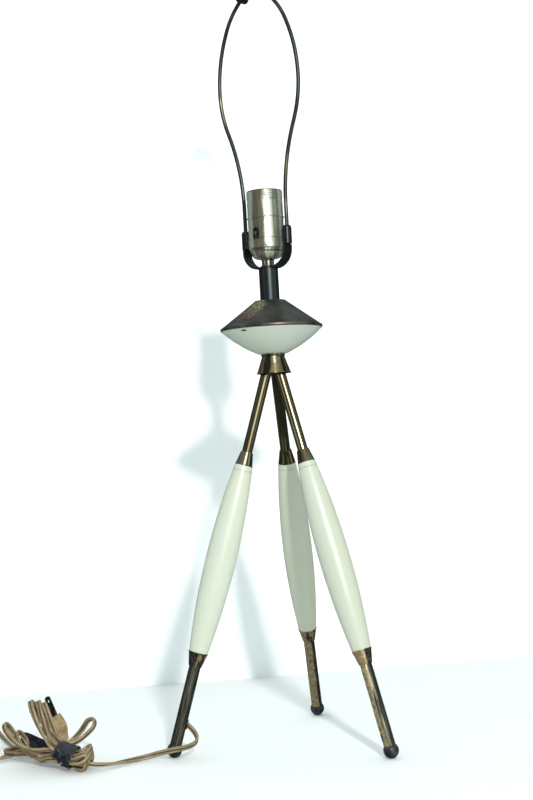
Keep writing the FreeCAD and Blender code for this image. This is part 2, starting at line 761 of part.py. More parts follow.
def bridge(end, wires):
    """The stamped top plate, with a barrel at each end that takes the wire."""
    at = knuckle_place(end)
    top = at.z + bridge_knuckle_r
    half = bridge_length / 2
    plate = Part.makeBox(2 * at.x, bridge_length, bridge_thickness, V(-at.x, -half, top - bridge_thickness))
    for side in (1, -1):
        barrel = Part.makeCylinder(bridge_knuckle_r, bridge_length, V(side * at.x, -half, at.z), V(0, 1, 0))
        plate = plate.fuse(barrel)
    hole = Part.makeCylinder(2.4 + 0.05, 20, V(0, 0, top - 10))
    plate = plate.cut(hole)
    for wire in wires:
        plate = plate.cut(wire)
    return plate.removeSplitter(), top


def finial_post(top):
    """The shade post: a rivet through the bridge, a shoulder and a fine thread."""
    t = bridge_thickness
    points = [
        (0, top - t - 1.3), (3.6, top - t - 1.3), (3.9, top - t), (2.4, top - t), (2.4, top),
        (finial_shoulder_r, top), (finial_shoulder_r, top + 1.2), (finial_thread_r, top + 1.2),
        (finial_thread_r, top + 1.2 + finial_thread_length - 0.8),
        (finial_thread_r - 0.8, top + 1.2 + finial_thread_length), (0, top + 1.2 + finial_thread_length),
    ]
    return ring(points)


def harp_sleeve():
    """The sliding sleeve that locks the wire's end to the saddle's tongue."""
    low = saddle_z + saddle_ear_height + 0.3
    high = low + sleeve_height
    r = sleeve_r
    body = ring([
        (0, low), (r, low), (r, high - 3.4), (r - 0.5, high - 1.0, r - 1.4, high), (0, high),
    ])
    pocket = Part.makeCylinder(sleeve_bore_r, sleeve_height - sleeve_top_wall + 1, V(0, 0, low - 1))
    eye = Part.makeCylinder(harp_wire_r + 0.15, sleeve_height + 2, V(harp_wire_offset, 0, low - 1))
    body = body.cut(pocket).cut(eye)
    body.translate(V(saddle_half_width, 0, 0))
    return body


# ---- lead, hank and plug, in the row's frame ----

def leg_point(station, inward):
    """A point in the left leg, at a station along its axis and a distance towards the lamp's axis."""
    place = leg_place(leg_azimuths["left"])
    return place.multVec(V(-inward, 0, station))


def internal_lead():
    """The lead inside the lamp: socket, rod, hub, left leg, exit."""
    centre = V(0, axis_y, 0)
    points = [
        centre + V(0, 0, body_z + 7.5),
        centre + V(1.0, 0, disc_z + 30),
        centre + V(0, 0, chamber_z + 6.6),
        leg_point(leg_end + (tube_in_hub + 0.5) / math.cos(tilt), 0),
        leg_point(leg_end - 60, 1.0),
        leg_point(spindle_at + 60, 0.0),
        leg_point(exit_station + 34, 0.3),
        exit_point(-1.5),
        exit_point(lead_end),
    ]
    return route(points, "internal_lead", lead_r)


def exit_point(inward):
    """A point on the exit's axis, at a distance inwards from the leg's axis."""
    at, direction = exit_axis()
    return leg_point(at.z - inward / math.tan(math.radians(exit_angle)), inward)


def cord_tube():
    """The free lead: out of the bush, down round the foot, and over the floor to the hank."""
    return route([exit_point(lead_end), exit_point(exit_run)] + cord_points, "cord_tube", cord_r)


def below_floor():
    return Part.makeBox(600, 600, 60, V(-500, -400, -60))


def lobe(end, near_r, far_r):
    """A tapered bundle of turns from the tie to a round end."""
    along = end - hank_tie_at
    long = along.Length
    bundle = ring([
        (0, -near_r), (0.4 * near_r, -near_r), (0.85 * near_r, -0.65 * near_r, near_r, 0),
        (far_r, long), (0.85 * far_r, long + 0.65 * far_r, 0.4 * far_r, long + far_r),
        (0, long + far_r),
    ])
    return placed(bundle, FreeCAD.Placement(hank_tie_at, FreeCAD.Rotation(UP, along)))


def cord_hank():
    """The outer shape of the tied hank: lobes that fan out from the tie, and one low loose loop."""
    hank = lobe(*hank_lobes[0])
    for lobe_values in hank_lobes[1:]:
        hank = hank.fuse(lobe(*lobe_values))
    loop = Part.makeCylinder(hank_loop_r, hank_loop_height, hank_loop_end)
    foot = V(hank_tie_at.x, hank_tie_at.y, 0)
    along = foot - hank_loop_end
    across = V(-along.y, along.x, 0)
    across.normalize()
    corners = [
        hank_loop_end + across * hank_loop_r, foot + across * hank_loop_foot,
        foot - across * hank_loop_foot, hank_loop_end - across * hank_loop_r,
    ]
    wedge = Part.Face(Part.makePolygon(corners + corners[:1])).extrude(V(0, 0, hank_loop_height))
    hank = hank.fuse(loop).fuse(wedge)
    plug_way = Part.makeCylinder(plug_width / 2 + seat_gap, 2 * plug_length)
    hank = hank.cut(placed(plug_way, plug_place()))
    return hank.cut(below_floor())


def hank_tie():
    """A vinyl tie wound round the hank's waist."""
    along = V(hank_tie_along).normalize()
    low = hank_tie_at - along * (hank_tie_width / 2)
    band = Part.makeCylinder(hank_tie_r, hank_tie_width, low, along)
    band = band.cut(Part.makeCylinder(hank_tie_r - hank_tie_wall, 2 * hank_tie_width, low - along, along))
    return band.cut(below_floor())


def plug_place():
    lean = FreeCAD.Rotation(UP, plug_lean)
    return FreeCAD.Placement(plug_base, lean.multiply(FreeCAD.Rotation(UP, plug_turn)))


def plug_blades():
    """Two flat blades with a round hole near the tip, rooted in the plug's body."""
    pieces = []
    for side in (1, -1):
        whole = blade_length + blade_root
        half = blade_width / 2
        blade = Part.makeBox(blade_thickness, blade_width, whole, V(-blade_thickness / 2, -half, 0))
        tip = Part.makeBox(4, blade_width + 2, 2, V(-2, -half - 1, whole - 1.2))
        round_end = Part.makeCylinder(half + 0.4, 4, V(-2, 0, whole - 3.4), V(1, 0, 0))
        blade = blade.cut(tip.cut(round_end))
        hole = Part.makeCylinder(blade_hole_r, 6, V(-3, 0, whole - 4.4), V(1, 0, 0))
        blade = blade.cut(hole)
        blade.rotate(ORIGIN, V(0, 1, 0), side * blade_splay)
        blade.translate(V(side * (blade_half_gap - 0.4), 0, plug_length - blade_root))
        pieces.append(placed(blade, plug_place()))
    return Part.makeCompound(pieces)


def plug_body(blades):
    """A moulded plug: wide at the blades, narrowing to the lead."""
    wide = plug_width / 2
    outline = [V(-wide, 0, plug_length), V(-wide, 0, plug_length - 9), V(-5.0, 0, 2.5), V(-4.0, 0, 0),
               V(4.0, 0, 0), V(5.0, 0, 2.5), V(wide, 0, plug_length - 9), V(wide, 0, plug_length)]
    face = Part.Face(Part.makePolygon(outline + outline[:1]))
    body = face.extrude(V(0, plug_depth, 0))
    body.translate(V(0, -plug_depth / 2, 0))
    turned = Part.makeCylinder(wide + 0.01, plug_length, ORIGIN)
    body = body.common(turned)
    body = placed(body, plug_place())
    return body.cut(blades)


def build():
    """Every node's shape in the row's frame."""
    parts = {}
    switch_azimuth = harp_azimuth - 90.0
    for name, azimuth in leg_azimuths.items():
        place = leg_place(azimuth)
        parts["ball_foot_" + name] = placed(ball_foot(), place)
        parts["lower_tube_" + name] = placed(lower_tube(name == "left"), place)
        parts["lower_ferrule_" + name] = placed(lower_ferrule(), place)
        parts["spindle_" + name] = placed(spindle(), place)
        parts["upper_ferrule_" + name] = placed(upper_ferrule(), place)
        parts["upper_tube_" + name] = placed(upper_tube(), place)
    parts["cord_grommet"] = placed(cord_grommet(), leg_place(leg_azimuths["left"]))
    parts["leg_hub"] = on_axis(leg_hub())
    parts["collar_skirt"] = on_axis(collar_skirt())
    parts["disc_lower_shell"] = on_axis(disc_lower_shell())
    parts["disc_upper_shell"] = on_axis(disc_upper_shell())
    parts["disc_nut"] = on_axis(hex_nut(disc_nut_r, disc_nut_height, disc_z + disc_wall, rod_hole_r))
    parts["centre_rod"] = on_axis(centre_rod())
    parts["post_tube"] = on_axis(tube(post_r, post_r - post_wall, post_z, saddle_z))
    parts["neck_nut"] = on_axis(neck_nut())
    parts["socket_cap"] = on_axis(socket_cap(), switch_azimuth)
    parts["cap_set_screw"] = on_axis(set_screw(), switch_azimuth)
    parts["socket_shell"] = on_axis(socket_shell(), switch_azimuth)
    parts["insulator_sleeve"] = on_axis(insulator_sleeve(), switch_azimuth)
    parts["socket_body"] = on_axis(socket_body(), switch_azimuth)
    parts["terminal_screws"] = on_axis(terminal_screws(), switch_azimuth)
    parts["screw_shell"] = on_axis(screw_shell())
    parts["centre_contact"] = on_axis(centre_contact())
    parts["switch_shaft"] = on_axis(switch_shaft(), switch_azimuth)
    wire, end = harp_wire()
    other_wire = wire.mirror(ORIGIN, V(1, 0, 0))
    top_plate, top = bridge(end, [wire, other_wire])
    sleeve = harp_sleeve()
    parts["harp_saddle"] = on_axis(saddle(), harp_azimuth)
    parts["harp_wire_right"] = on_axis(wire, harp_azimuth)
    parts["harp_wire_left"] = on_axis(other_wire, harp_azimuth)
    parts["harp_bridge"] = on_axis(top_plate, harp_azimuth)
    parts["shade_post"] = on_axis(finial_post(top))
    parts["harp_sleeve_right"] = on_axis(sleeve, harp_azimuth)
    parts["harp_sleeve_left"] = on_axis(sleeve.mirror(ORIGIN, V(1, 0, 0)), harp_azimuth)
    parts["internal_lead"] = internal_lead()
    parts["cord_tube"] = cord_tube()
    parts["cord_hank"] = cord_hank()
    parts["hank_tie"] = hank_tie()
    blades = plug_blades()
    parts["plug_blades"] = blades
    parts["plug_body"] = plug_body(blades)
    return parts


for node, shape in build().items():
    if not shape.isValid():
        print("not valid:", node)
    shape.exportStep("parts/" + node + ".step")
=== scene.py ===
# A tripod table lamp of the 1950s: brass and cream legs, a bronze and cream double cone,
# a harp for the shade, a turn-switch socket, and a tan lead tied in a hank with its plug.
# Metres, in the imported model's own frame: +Z up, the back leg towards +Y.
import math

import bpy
import numpy as np
from mathutils import Matrix, Quaternion, Vector


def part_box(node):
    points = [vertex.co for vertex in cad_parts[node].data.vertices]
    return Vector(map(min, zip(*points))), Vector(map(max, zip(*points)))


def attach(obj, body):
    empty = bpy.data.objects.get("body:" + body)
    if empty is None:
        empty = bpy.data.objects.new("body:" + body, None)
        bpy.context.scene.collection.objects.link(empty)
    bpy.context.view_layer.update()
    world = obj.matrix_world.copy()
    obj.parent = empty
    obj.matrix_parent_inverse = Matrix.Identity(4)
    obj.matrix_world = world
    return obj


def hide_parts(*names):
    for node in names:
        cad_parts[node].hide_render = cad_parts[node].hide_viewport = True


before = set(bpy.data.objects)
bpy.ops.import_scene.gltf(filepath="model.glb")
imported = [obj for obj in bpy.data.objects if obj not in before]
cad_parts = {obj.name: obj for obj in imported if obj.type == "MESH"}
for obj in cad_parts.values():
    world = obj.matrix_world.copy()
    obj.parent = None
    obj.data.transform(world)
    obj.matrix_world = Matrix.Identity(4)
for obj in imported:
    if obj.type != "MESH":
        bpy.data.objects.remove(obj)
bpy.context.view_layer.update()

# ---- the studio: a pale floor, soft light, and a camera at about the lamp's middle height ----
# The camera stands 1.19 m from the lamp's axis, a little to the right of the back leg's line,
# and leans by three degrees. The far side of the room is pale, and the near side is dim.
rod_low, rod_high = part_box("centre_rod")
axis_y = (rod_low.y + rod_high.y) / 2
lamp_axis = Vector((0.0, axis_y, 0.0))

view_turn = math.radians(12.714)
view_away = 1.19235
view_height = 0.28265
view_aim = math.radians(0.398)
view_up = math.radians(1.410)
view_lean = math.radians(3.157)
view_reach = 1302.62 / 800.0
turned = Matrix.Rotation(view_turn, 3, "Z")
ahead = turned @ Vector((-math.sin(view_aim), math.cos(view_aim), 0.0))
right = turned @ Vector((math.cos(view_aim), math.sin(view_aim), 0.0))
forward = ahead * math.cos(view_up) + Vector((0, 0, math.sin(view_up)))
upward = Vector((0, 0, math.cos(view_up))) - ahead * math.sin(view_up)
lens_right = right * math.cos(view_lean) - upward * math.sin(view_lean)
lens_up = right * math.sin(view_lean) + upward * math.cos(view_lean)
camera = bpy.data.objects.new("camera", bpy.data.cameras.new("camera"))
film_wide = 36.0
camera.data.sensor_width = film_wide
camera.data.lens = film_wide * view_reach
stance = Matrix((lens_right, lens_up, -forward)).transposed().to_4x4()
stance.translation = lamp_axis + turned @ Vector((0, -view_away, 0)) + Vector((0, 0, view_height))
camera.matrix_world = stance
bpy.context.scene.collection.objects.link(camera)
bpy.context.scene.camera = camera
bpy.context.scene.view_settings.view_transform = "Standard"


def material_of(name):
    """A new material, its node tree and its Principled shader."""
    made = bpy.data.materials.new(name)
    made.use_nodes = True
    return made, made.node_tree, made.node_tree.nodes["Principled BSDF"]


def settle(tree, node, **values):
    """Sets a node's inputs and settings by name. A socket among the values is linked."""
    for name, value in values.items():
        name = name.replace("_", " ") if name.replace("_", " ") in node.inputs else name
        if isinstance(value, bpy.types.NodeSocket):
            tree.links.new(value, node.inputs[name])
        elif name in node.inputs:
            node.inputs[name].default_value = value
        else:
            setattr(node, name, value)
    return node


def add(tree, kind, **values):
    """A new shader node of that kind, with its values."""
    return settle(tree, tree.nodes.new("ShaderNode" + kind), **values)


def skin(material, *names):
    """Gives CAD nodes, by name, one material in every slot."""
    for name in names:
        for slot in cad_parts[name].material_slots:
            slot.material = material


def wear(piece, material):
    """Gives a new piece its one material."""
    piece.data.materials.clear()
    piece.data.materials.append(material)


def flat_board(name, corners):
    """A flat sheet of the studio, as four corners in order."""
    mesh = bpy.data.meshes.new(name)
    mesh.from_pydata([tuple(corner) for corner in corners], [], [(0, 1, 2, 3)])
    board = bpy.data.objects.new(name, mesh)
    bpy.context.scene.collection.objects.link(board)
    board.visible_glossy = False
    return board


floor = flat_board("floor", [(-3, -3, 0), (3, -3, 0), (3, 3, 0), (-3, 3, 0)])
floor.location.z = -0.0002
paper, tree, shader = material_of("floor_paper")
settle(tree, shader, Base_Color=(0.93, 0.955, 0.955, 1), Roughness=0.6)
wear(floor, paper)

# the wall stands a third of a metre behind the lamp, and is seen from its front alone
wall_left = lamp_axis + turned @ Vector((-2.310, 0.063, 0))
wall_right = lamp_axis + turned @ Vector((2.267, 0.580, 0))
wall_top = Vector((0, 0, 3.0))
wall = flat_board("wall", [wall_left, wall_right, wall_right + wall_top, wall_left + wall_top])
plaster, tree, shader = material_of("wall_paper")
settle(tree, shader, Base_Color=(0.93, 0.975, 0.975, 1), Roughness=0.8)
behind = add(tree, "MixShader", Fac=add(tree, "NewGeometry").outputs["Backfacing"])
tree.links.new(shader.outputs[0], behind.inputs[1])
tree.links.new(add(tree, "BsdfTransparent").outputs[0], behind.inputs[2])
tree.links.new(behind.outputs[0], tree.nodes["Material Output"].inputs["Surface"])
wear(wall, plaster)

# the room: matt surfaces get an even pale light; shiny ones mirror a dim room with a broad
# glow round the light's direction and a paler ceiling
light_way = (turned @ Vector((0.512, -2.367, 0.85))).normalized()
world = bpy.data.worlds.new("studio")
bpy.context.scene.world = world
world.use_nodes = True
tree = world.node_tree
sky = tree.nodes["Background"]
way = add(tree, "TexCoord").outputs["Generated"]


def towards(direction, stops):
    """A colour read from stops of (cosine to the direction, colour)."""
    cosine = add(tree, "VectorMath", operation="DOT_PRODUCT")
    tree.links.new(way, cosine.inputs[0])
    cosine.inputs[1].default_value = direction
    ramp = add(tree, "ValToRGB")
    share = add(tree, "MapRange", Value=cosine.outputs["Value"], From_Min=-1.0, From_Max=1.0)
    tree.links.new(share.outputs[0], ramp.inputs["Fac"])
    marks = ramp.color_ramp.elements
    for mark in stops[2:]:
        marks.new(0.5)
    for mark, (cosine_at, colour) in zip(marks, stops):
        mark.position = (cosine_at + 1) / 2
        mark.color = (*colour, 1)
    return ramp.outputs["Color"]


def over(first, second):
    """Two lights' colours added."""
    both = add(tree, "Mix", data_type="RGBA", blend_type="ADD")
    both.inputs[0].default_value = 1.0
    tree.links.new(first, both.inputs[6])
    tree.links.new(second, both.inputs[7])
    return both.outputs[2]


black = (0.0, 0.0, 0.0)
glow = towards(light_way, [(-1.0, (0.06, 0.065, 0.065)), (0.62, (0.020, 0.022, 0.022)),
                           (0.91, (0.13, 0.14, 0.13)), (0.985, (1.5, 1.5, 1.42))])
right_gleam = towards((turned @ Vector((0.93, -0.30, 0.10))).normalized(),
                      [(-1.0, black), (0.94, black), (0.99, (0.75, 0.76, 0.72))])
left_gleam = towards((turned @ Vector((-0.86, -0.45, 0.05))).normalized(),
                     [(-1.0, black), (0.95, black), (0.99, (0.45, 0.47, 0.45))])
ceiling = towards(Vector((0, 0, 1)),
                  [(-1.0, (0.08, 0.085, 0.09)), (0.3, black), (1.0, (0.50, 0.53, 0.53))])
dim = over(over(glow, ceiling), over(right_gleam, left_gleam))
paths = add(tree, "LightPath")
matt = add(tree, "Mix", data_type="RGBA")
tree.links.new(paths.outputs["Is Diffuse Ray"], matt.inputs[0])
tree.links.new(dim, matt.inputs[6])
matt.inputs[7].default_value = (0.58, 0.645, 0.66, 1)
pale = add(tree, "Mix", data_type="RGBA")
tree.links.new(paths.outputs["Is Camera Ray"], pale.inputs[0])
tree.links.new(matt.outputs[2], pale.inputs[6])
pale.inputs[7].default_value = (0.955, 1.0, 1.0, 1)
tree.links.new(pale.outputs[2], sky.inputs["Color"])

# one small area light high at the near right gives the lamp its shadow and its highlights
window = bpy.data.lights.new("window", "AREA")
window.shape = "SQUARE"
window.size = 0.14
window.energy = 48
window.color = (1.0, 1.0, 0.97)
lighting = bpy.data.objects.new("window", window)
lighting.location = lamp_axis + turned @ Vector((0.512, -2.367, 1.284))
lighting_aim = lamp_axis + Vector((0, 0, 0.35)) - lighting.location
lighting.rotation_euler = lighting_aim.to_track_quat("-Z", "Y").to_euler()
bpy.context.scene.collection.objects.link(lighting)

# ---- the feet: three rubber balls ----
# Each is moulded black rubber with a stem that plugs the tube's end. The rubber has bloomed
# with age, and dust sits in its fine pores.


def mixed(tree, factor, first, second):
    """A colour between two: the factor is a socket, and each colour a socket or a plain triple."""
    node = add(tree, "Mix", data_type="RGBA")
    tree.links.new(factor, node.inputs[0])
    for socket, colour in ((node.inputs[6], first), (node.inputs[7], second)):
        if isinstance(colour, bpy.types.NodeSocket):
            tree.links.new(colour, socket)
        else:
            socket.default_value = (*colour, 1)
    return node.outputs[2]


def noise(tree, place, scale, detail=3.0, stretch=(1, 1, 1), seed=0.0):
    """Fractal noise, 0 to 1, in a place that is stretched first; scale is in waves a metre."""
    moved = add(tree, "Mapping", Vector=place, Scale=stretch, Location=(seed, 2 * seed, -seed))
    return add(tree, "TexNoise", Vector=moved.outputs[0], Scale=scale, Detail=detail).outputs["Fac"]


def span(tree, value, low, high, to_low=0.0, to_high=1.0):
    """A value's smooth step from low to high, given as to_low to to_high."""
    return add(tree, "MapRange", Value=value, From_Min=low, From_Max=high, To_Min=to_low, To_Max=to_high,
               interpolation_type="SMOOTHSTEP").outputs[0]


def tinted(tree, colour, mark, share, tint):
    """A colour that goes over to a tint where the mark is 1, as far as the share says."""
    return mixed(tree, span(tree, mark, 0, 1, 0.0, share), colour, tint)


def relief(tree, shader, height, depth, below=None):
    """A bump of that depth in metres, laid over another bump where one is given."""
    bump = add(tree, "Bump", Height=height, Distance=depth)
    if below:
        tree.links.new(below, bump.inputs["Normal"])
    tree.links.new(bump.outputs[0], shader.inputs["Normal"])
    return bump.outputs[0]


def own_place(tree):
    """The place of a point on its piece, in metres."""
    return add(tree, "TexCoord").outputs["Object"]


def moulded(name, mottle, edges, colours, rough, grain, depth, **gloss):
    """A moulded finish. One mottle, as (scale, detail) and cut between two edges, drives both
    the colour and the roughness, over a grain of its own scale, detail and depth."""
    made, tree, shader = material_of(name)
    place = own_place(tree)
    share = span(tree, noise(tree, place, *mottle), *edges)
    settle(tree, shader, Base_Color=mixed(tree, share, *colours), Roughness=span(tree, share, 0, 1, *rough),
           **gloss)
    relief(tree, shader, noise(tree, place, *grain), depth)
    return made


rubber = moulded("bloomed_rubber", (160, 5), (0.42, 0.66), ((0.011, 0.013, 0.019), (0.045, 0.050, 0.058)),
                 (0.42, 0.66), (1400, 2), 0.00006)
skin(rubber, "ball_foot_back", "ball_foot_left", "ball_foot_right")

# ---- the lower legs: rolled brass tube with a butted seam, and a spun ferrule on each ----
# The lacquer is gone, so the brass has pitted and turned olive where hands and wet rags
# reached it. Each leg has worn in its own way, the back one bare; the left one is the darkest, by tarnish
# and by painted shade over most of its width.
leg_tilt = math.radians(17.47)
ball_r = 0.0067
back_low, back_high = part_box("ball_foot_back")
foot_away = back_high.y - ball_r - axis_y
foot_up = back_low.z + ball_r
leg_turns = {"back": 90.0, "left": 210.0, "right": 330.0}


def leg_place(tree, leg):
    """A point's place in its leg's own frame: Z runs up the leg's axis from the ball's middle,
    and X points away from the lamp. It is the inverse of the turn and lean that set the leg."""
    lean = Matrix.Rotation(leg_tilt, 3, "Y")
    turn = lean @ Matrix.Rotation(-math.radians(leg_turns[leg]), 3, "Z")
    shift = -(turn @ lamp_axis) - lean @ Vector((foot_away, 0, foot_up))
    return add(tree, "Mapping", Vector=own_place(tree), Rotation=turn.to_euler(), Location=shift).outputs[0]


def sum_of(tree, operation, *values):
    """The result of a Math node on values that are sockets or numbers."""
    node = add(tree, "Math", operation=operation)
    for socket, value in zip(node.inputs, values):
        if isinstance(value, bpy.types.NodeSocket):
            tree.links.new(value, socket)
        else:
            socket.default_value = value
    return node.outputs[0]


def tarnished_brass(name, leg, olive, rubbed, painted_shade_from, facing=1):
    """Bare brass under olive tarnish: patches grow with olive, from 0 to 1, and run along the
    leg. The side beyond a given distance in metres to the right of the leg's axis, as the
    camera sees it, or to its left where facing is -1, is painted darker still as painted shade.
    Pits are sharp dark spots, and rubbed patches shine through."""
    made, tree, shader = material_of(name)
    place = leg_place(tree, leg)
    seed = 0.13 * leg_turns[leg]
    patches = noise(tree, place, 95, 6, (1, 1, 0.22), seed)
    tarnish = span(tree, patches, 0.66 - 0.34 * olive, 0.80 - 0.34 * olive)
    # painted shade: past a given distance to the camera's right of the leg's axis (to its left where facing
    # is -1), the colour goes over to a darker, streaked one
    side_turn = view_turn - math.radians(leg_turns[leg])
    side = add(tree, "VectorMath", operation="DOT_PRODUCT")
    tree.links.new(place, side.inputs[0])
    side.inputs[1].default_value = (facing * math.cos(side_turn), facing * math.sin(side_turn), 0)
    ragged = sum_of(tree, "MULTIPLY_ADD", patches, 0.008, side.outputs["Value"])
    painted_shade = span(tree, ragged, painted_shade_from + 0.0034, painted_shade_from + 0.0046)
    grain = noise(tree, place, 900, 4, (1, 1, 0.5), seed)
    pits = span(tree, noise(tree, place, 330, 3, (1, 1, 0.7), seed + 3), 0.64, 0.70)
    bright = noise(tree, place, 190, 3, (1, 1, 0.6), seed + 5)
    shine = span(tree, bright, 0.70 - 0.2 * rubbed, 0.78 - 0.2 * rubbed)
    bare = mixed(tree, span(tree, grain, 0.38, 0.60), (0.40, 0.32, 0.18), (0.80, 0.68, 0.42))
    tone_scale = mixed(tree, grain, (0.034, 0.038, 0.030), (0.105, 0.105, 0.080))
    metal = mixed(tree, tarnish, bare, tone_scale)
    metal = mixed(tree, shine, metal, (0.62, 0.46, 0.24))
    streaks = noise(tree, place, 1300, 3, (1, 1, 0.03), seed + 7)
    dark = mixed(tree, span(tree, streaks, 0.45, 0.62), (0.032, 0.036, 0.030), (0.165, 0.160, 0.120))
    metal = mixed(tree, painted_shade, metal, dark)
    colour = mixed(tree, pits, metal, (0.026, 0.020, 0.016))
    rough = sum_of(tree, "MULTIPLY_ADD", grain, span(tree, shine, 0, 1, 0.36, 0.10), 0.30)
    settle(tree, shader, Base_Color=colour, Metallic=span(tree, pits, 0, 1, 0.80, 0.3), Roughness=rough)
    below = relief(tree, shader, grain, 0.00005)
    relief(tree, shader, span(tree, pits, 0, 1, 1.0, 0.0), 0.00012, below)
    return made


# the last number of each leg says where its painted shade starts, in metres across the tube
for leg, olive, rubbed, painted_shade_from in (("back", 0.20, 0.5, 0.0026), ("left", 0.90, 0.1, -0.0060),
                                      ("right", 0.15, 0.5, -0.0012)):
    skin(tarnished_brass("tarnished_tube_" + leg, leg, olive, rubbed, painted_shade_from), "lower_tube_" + leg)
    facing = -1 if leg == "left" else 1
    skin(tarnished_brass("tarnished_ferrule_" + leg, leg, 0.62 + 0.2 * olive, 1.1,
                         max(painted_shade_from, -0.003) + 0.002, facing), "lower_ferrule_" + leg)

# ---- the spindles: turned hardwood under cream lacquer ----
# Each is bored for the lead and sprayed with ivory nitrocellulose, which has yellowed and
# picked up faint streaks along the grain. A fine line is turned near the upper end.
spindle_foot = 0.0875
spindle_long = 0.1713


def cream_lacquer(name, leg, shade):
    """Ivory lacquer: slow yellowing, faint streaks along the wood, a grey bloom where hands
    held it, and one dark line round the spindle near its top."""
    made, tree, shader = material_of(name)
    place = leg_place(tree, leg)
    seed = 0.07 * leg_turns[leg]
    age = span(tree, noise(tree, place, 26, 3, (1, 1, 0.3), seed), 0.3, 0.7)
    streak = span(tree, noise(tree, place, 420, 4, (1, 1, 0.03), seed), 0.35, 0.75)
    soil = span(tree, noise(tree, place, 120, 5, (1, 1, 0.6), seed + 4), 0.60, 0.80)
    # shade scales both colours down, as painted shade on the back and right spindles
    fresh = tuple(shade * part for part in (0.560, 0.612, 0.515))
    yellowed = tuple(shade * part for part in (0.560, 0.590, 0.465))
    colour = mixed(tree, age, fresh, yellowed)
    colour = tinted(tree, colour, streak, 0.22, (0.56, 0.56, 0.40))
    colour = tinted(tree, colour, soil, 0.30, (0.45, 0.47, 0.38))
    height = add(tree, "SeparateXYZ", Vector=place).outputs["Z"]
    line_at = spindle_foot + spindle_long - 0.0052
    away = sum_of(tree, "ABSOLUTE", sum_of(tree, "SUBTRACT", height, line_at))
    line = span(tree, away, 0.0001, 0.0004, 1.0, 0.0)
    colour = tinted(tree, colour, line, 0.45, (0.33, 0.34, 0.24))
    settle(tree, shader, Base_Color=colour, Roughness=span(tree, soil, 0, 1, 0.36, 0.5),
           Coat_Weight=0.15, Coat_Roughness=0.25)
    below = relief(tree, shader, streak, 0.00001)
    relief(tree, shader, span(tree, line, 0, 1, 1.0, 0.0), 0.0003, below)
    return made


# painted shade: the back and right spindles get darker copies of the same lacquer
for leg, shade in (("back", 0.92), ("left", 1.0), ("right", 0.93)):
    skin(cream_lacquer("cream_lacquer_" + leg, leg, shade), "spindle_" + leg)

# ---- the upper legs: polished brass tube with a ferrule on each spindle ----
# The brass here still has most of its lacquer, so it shines, with long draw marks and a few
# brown stains where the lacquer has lifted.
near_side = math.atan2(-math.cos(view_turn), math.sin(view_turn))


def ring_point(azimuth, away, height):
    """A point at an angle about the lamp's axis from its near side, a distance out and a height."""
    angle = near_side + math.radians(azimuth)
    return Vector((away * math.cos(angle), away * math.sin(angle), height))


def patch(tree, place, centre, sizes, ragged, scale):
    """1 inside a ragged patch and 0 outside: how far a point lies from the centre, in units of
    the patch's half sizes across, along and up, pushed about by noise."""
    angle = math.atan2(centre.y, centre.x)
    size = Vector((1 / sizes[0], 1 / sizes[1], 1 / sizes[2]))
    turn = Matrix.Rotation(-angle, 3, "Z")
    centred = add(tree, "Mapping", Vector=place, Rotation=turn.to_euler(), Location=-(turn @ centre))
    sized = add(tree, "Mapping", Vector=centred.outputs[0], Scale=size)
    far = add(tree, "VectorMath", operation="LENGTH")
    tree.links.new(sized.outputs[0], far.inputs[0])
    push = sum_of(tree, "MULTIPLY_ADD", noise(tree, place, scale, 6), ragged, far.outputs["Value"])
    return span(tree, push, 0.8 + ragged / 2, 1.15 + ragged / 2, 1.0, 0.0)


def polished_brass(name, place_of, base, stain_share, draw=(1, 1, 0.03), painted_shade_bands=()):
    """Lacquered brass: draw marks along the piece, brown stains where the noise is high, and a
    soft change of tint. place_of(tree) gives the pattern's place. The last argument lists
    patches of painted shade, as (azimuth, distance out, height, half width) about the lamp's axis."""
    made, tree, shader = material_of(name)
    place = place_of(tree)
    marks = noise(tree, place, 800, 5, draw)
    cloud = span(tree, noise(tree, place, 60, 3), 0.3, 0.7)
    stain = span(tree, noise(tree, place, 130, 6, (1, 1, 0.4), 2.0), 0.72 - stain_share, 0.86 - stain_share)
    warm = tuple(0.86 * part for part in base)
    colour = mixed(tree, cloud, base, (warm[0], warm[1] * 0.92, warm[2] * 0.8))
    colour = tinted(tree, colour, stain, 0.85, (0.16, 0.105, 0.055))
    # painted shade: dark patches set about the near side, where the brass is seen dark
    for azimuth, out, up, half in painted_shade_bands:
        dark_patch = patch(tree, place, ring_point(azimuth, out, up), (0.008, half, 0.015), 0.35, 150)
        colour = tinted(tree, colour, dark_patch, 0.93, (0.045, 0.048, 0.034))
    rough = sum_of(tree, "ADD", span(tree, marks, 0.3, 0.7, 0.08, 0.17), span(tree, stain, 0, 1, 0.0, 0.22))
    settle(tree, shader, Base_Color=colour, Metallic=1.0, Roughness=rough)
    relief(tree, shader, marks, 0.000004)
    return made


# the back leg's brass gets a colour 0.55 as bright as the others', and more stains
for leg, tone_scale, stained in (("back", 0.55, 0.20), ("left", 1.0, 0.06), ("right", 1.0, 0.06)):
    brass = polished_brass("polished_tube_" + leg, lambda tree: leg_place(tree, leg),
                           (tone_scale * 0.49, tone_scale * 0.455, tone_scale * 0.285), stained)
    skin(brass, "upper_tube_" + leg)
    brass = polished_brass("polished_ferrule_" + leg, lambda tree: leg_place(tree, leg),
                           (tone_scale * 0.39, tone_scale * 0.360, tone_scale * 0.235), 0.17, (0.03, 0.03, 1))
    skin(brass, "upper_ferrule_" + leg)

# ---- hub and collar: what joins the legs ----
# The hub is cast iron, japanned black, with three spigots for the tubes. The collar over it is
# a spun brass cone with a bead at each edge, polished and lacquered.


def lamp_place(tree):
    """A point's place about the lamp's axis: Z up from the floor."""
    return add(tree, "Mapping", Vector=own_place(tree), Location=tuple(-lamp_axis)).outputs[0]


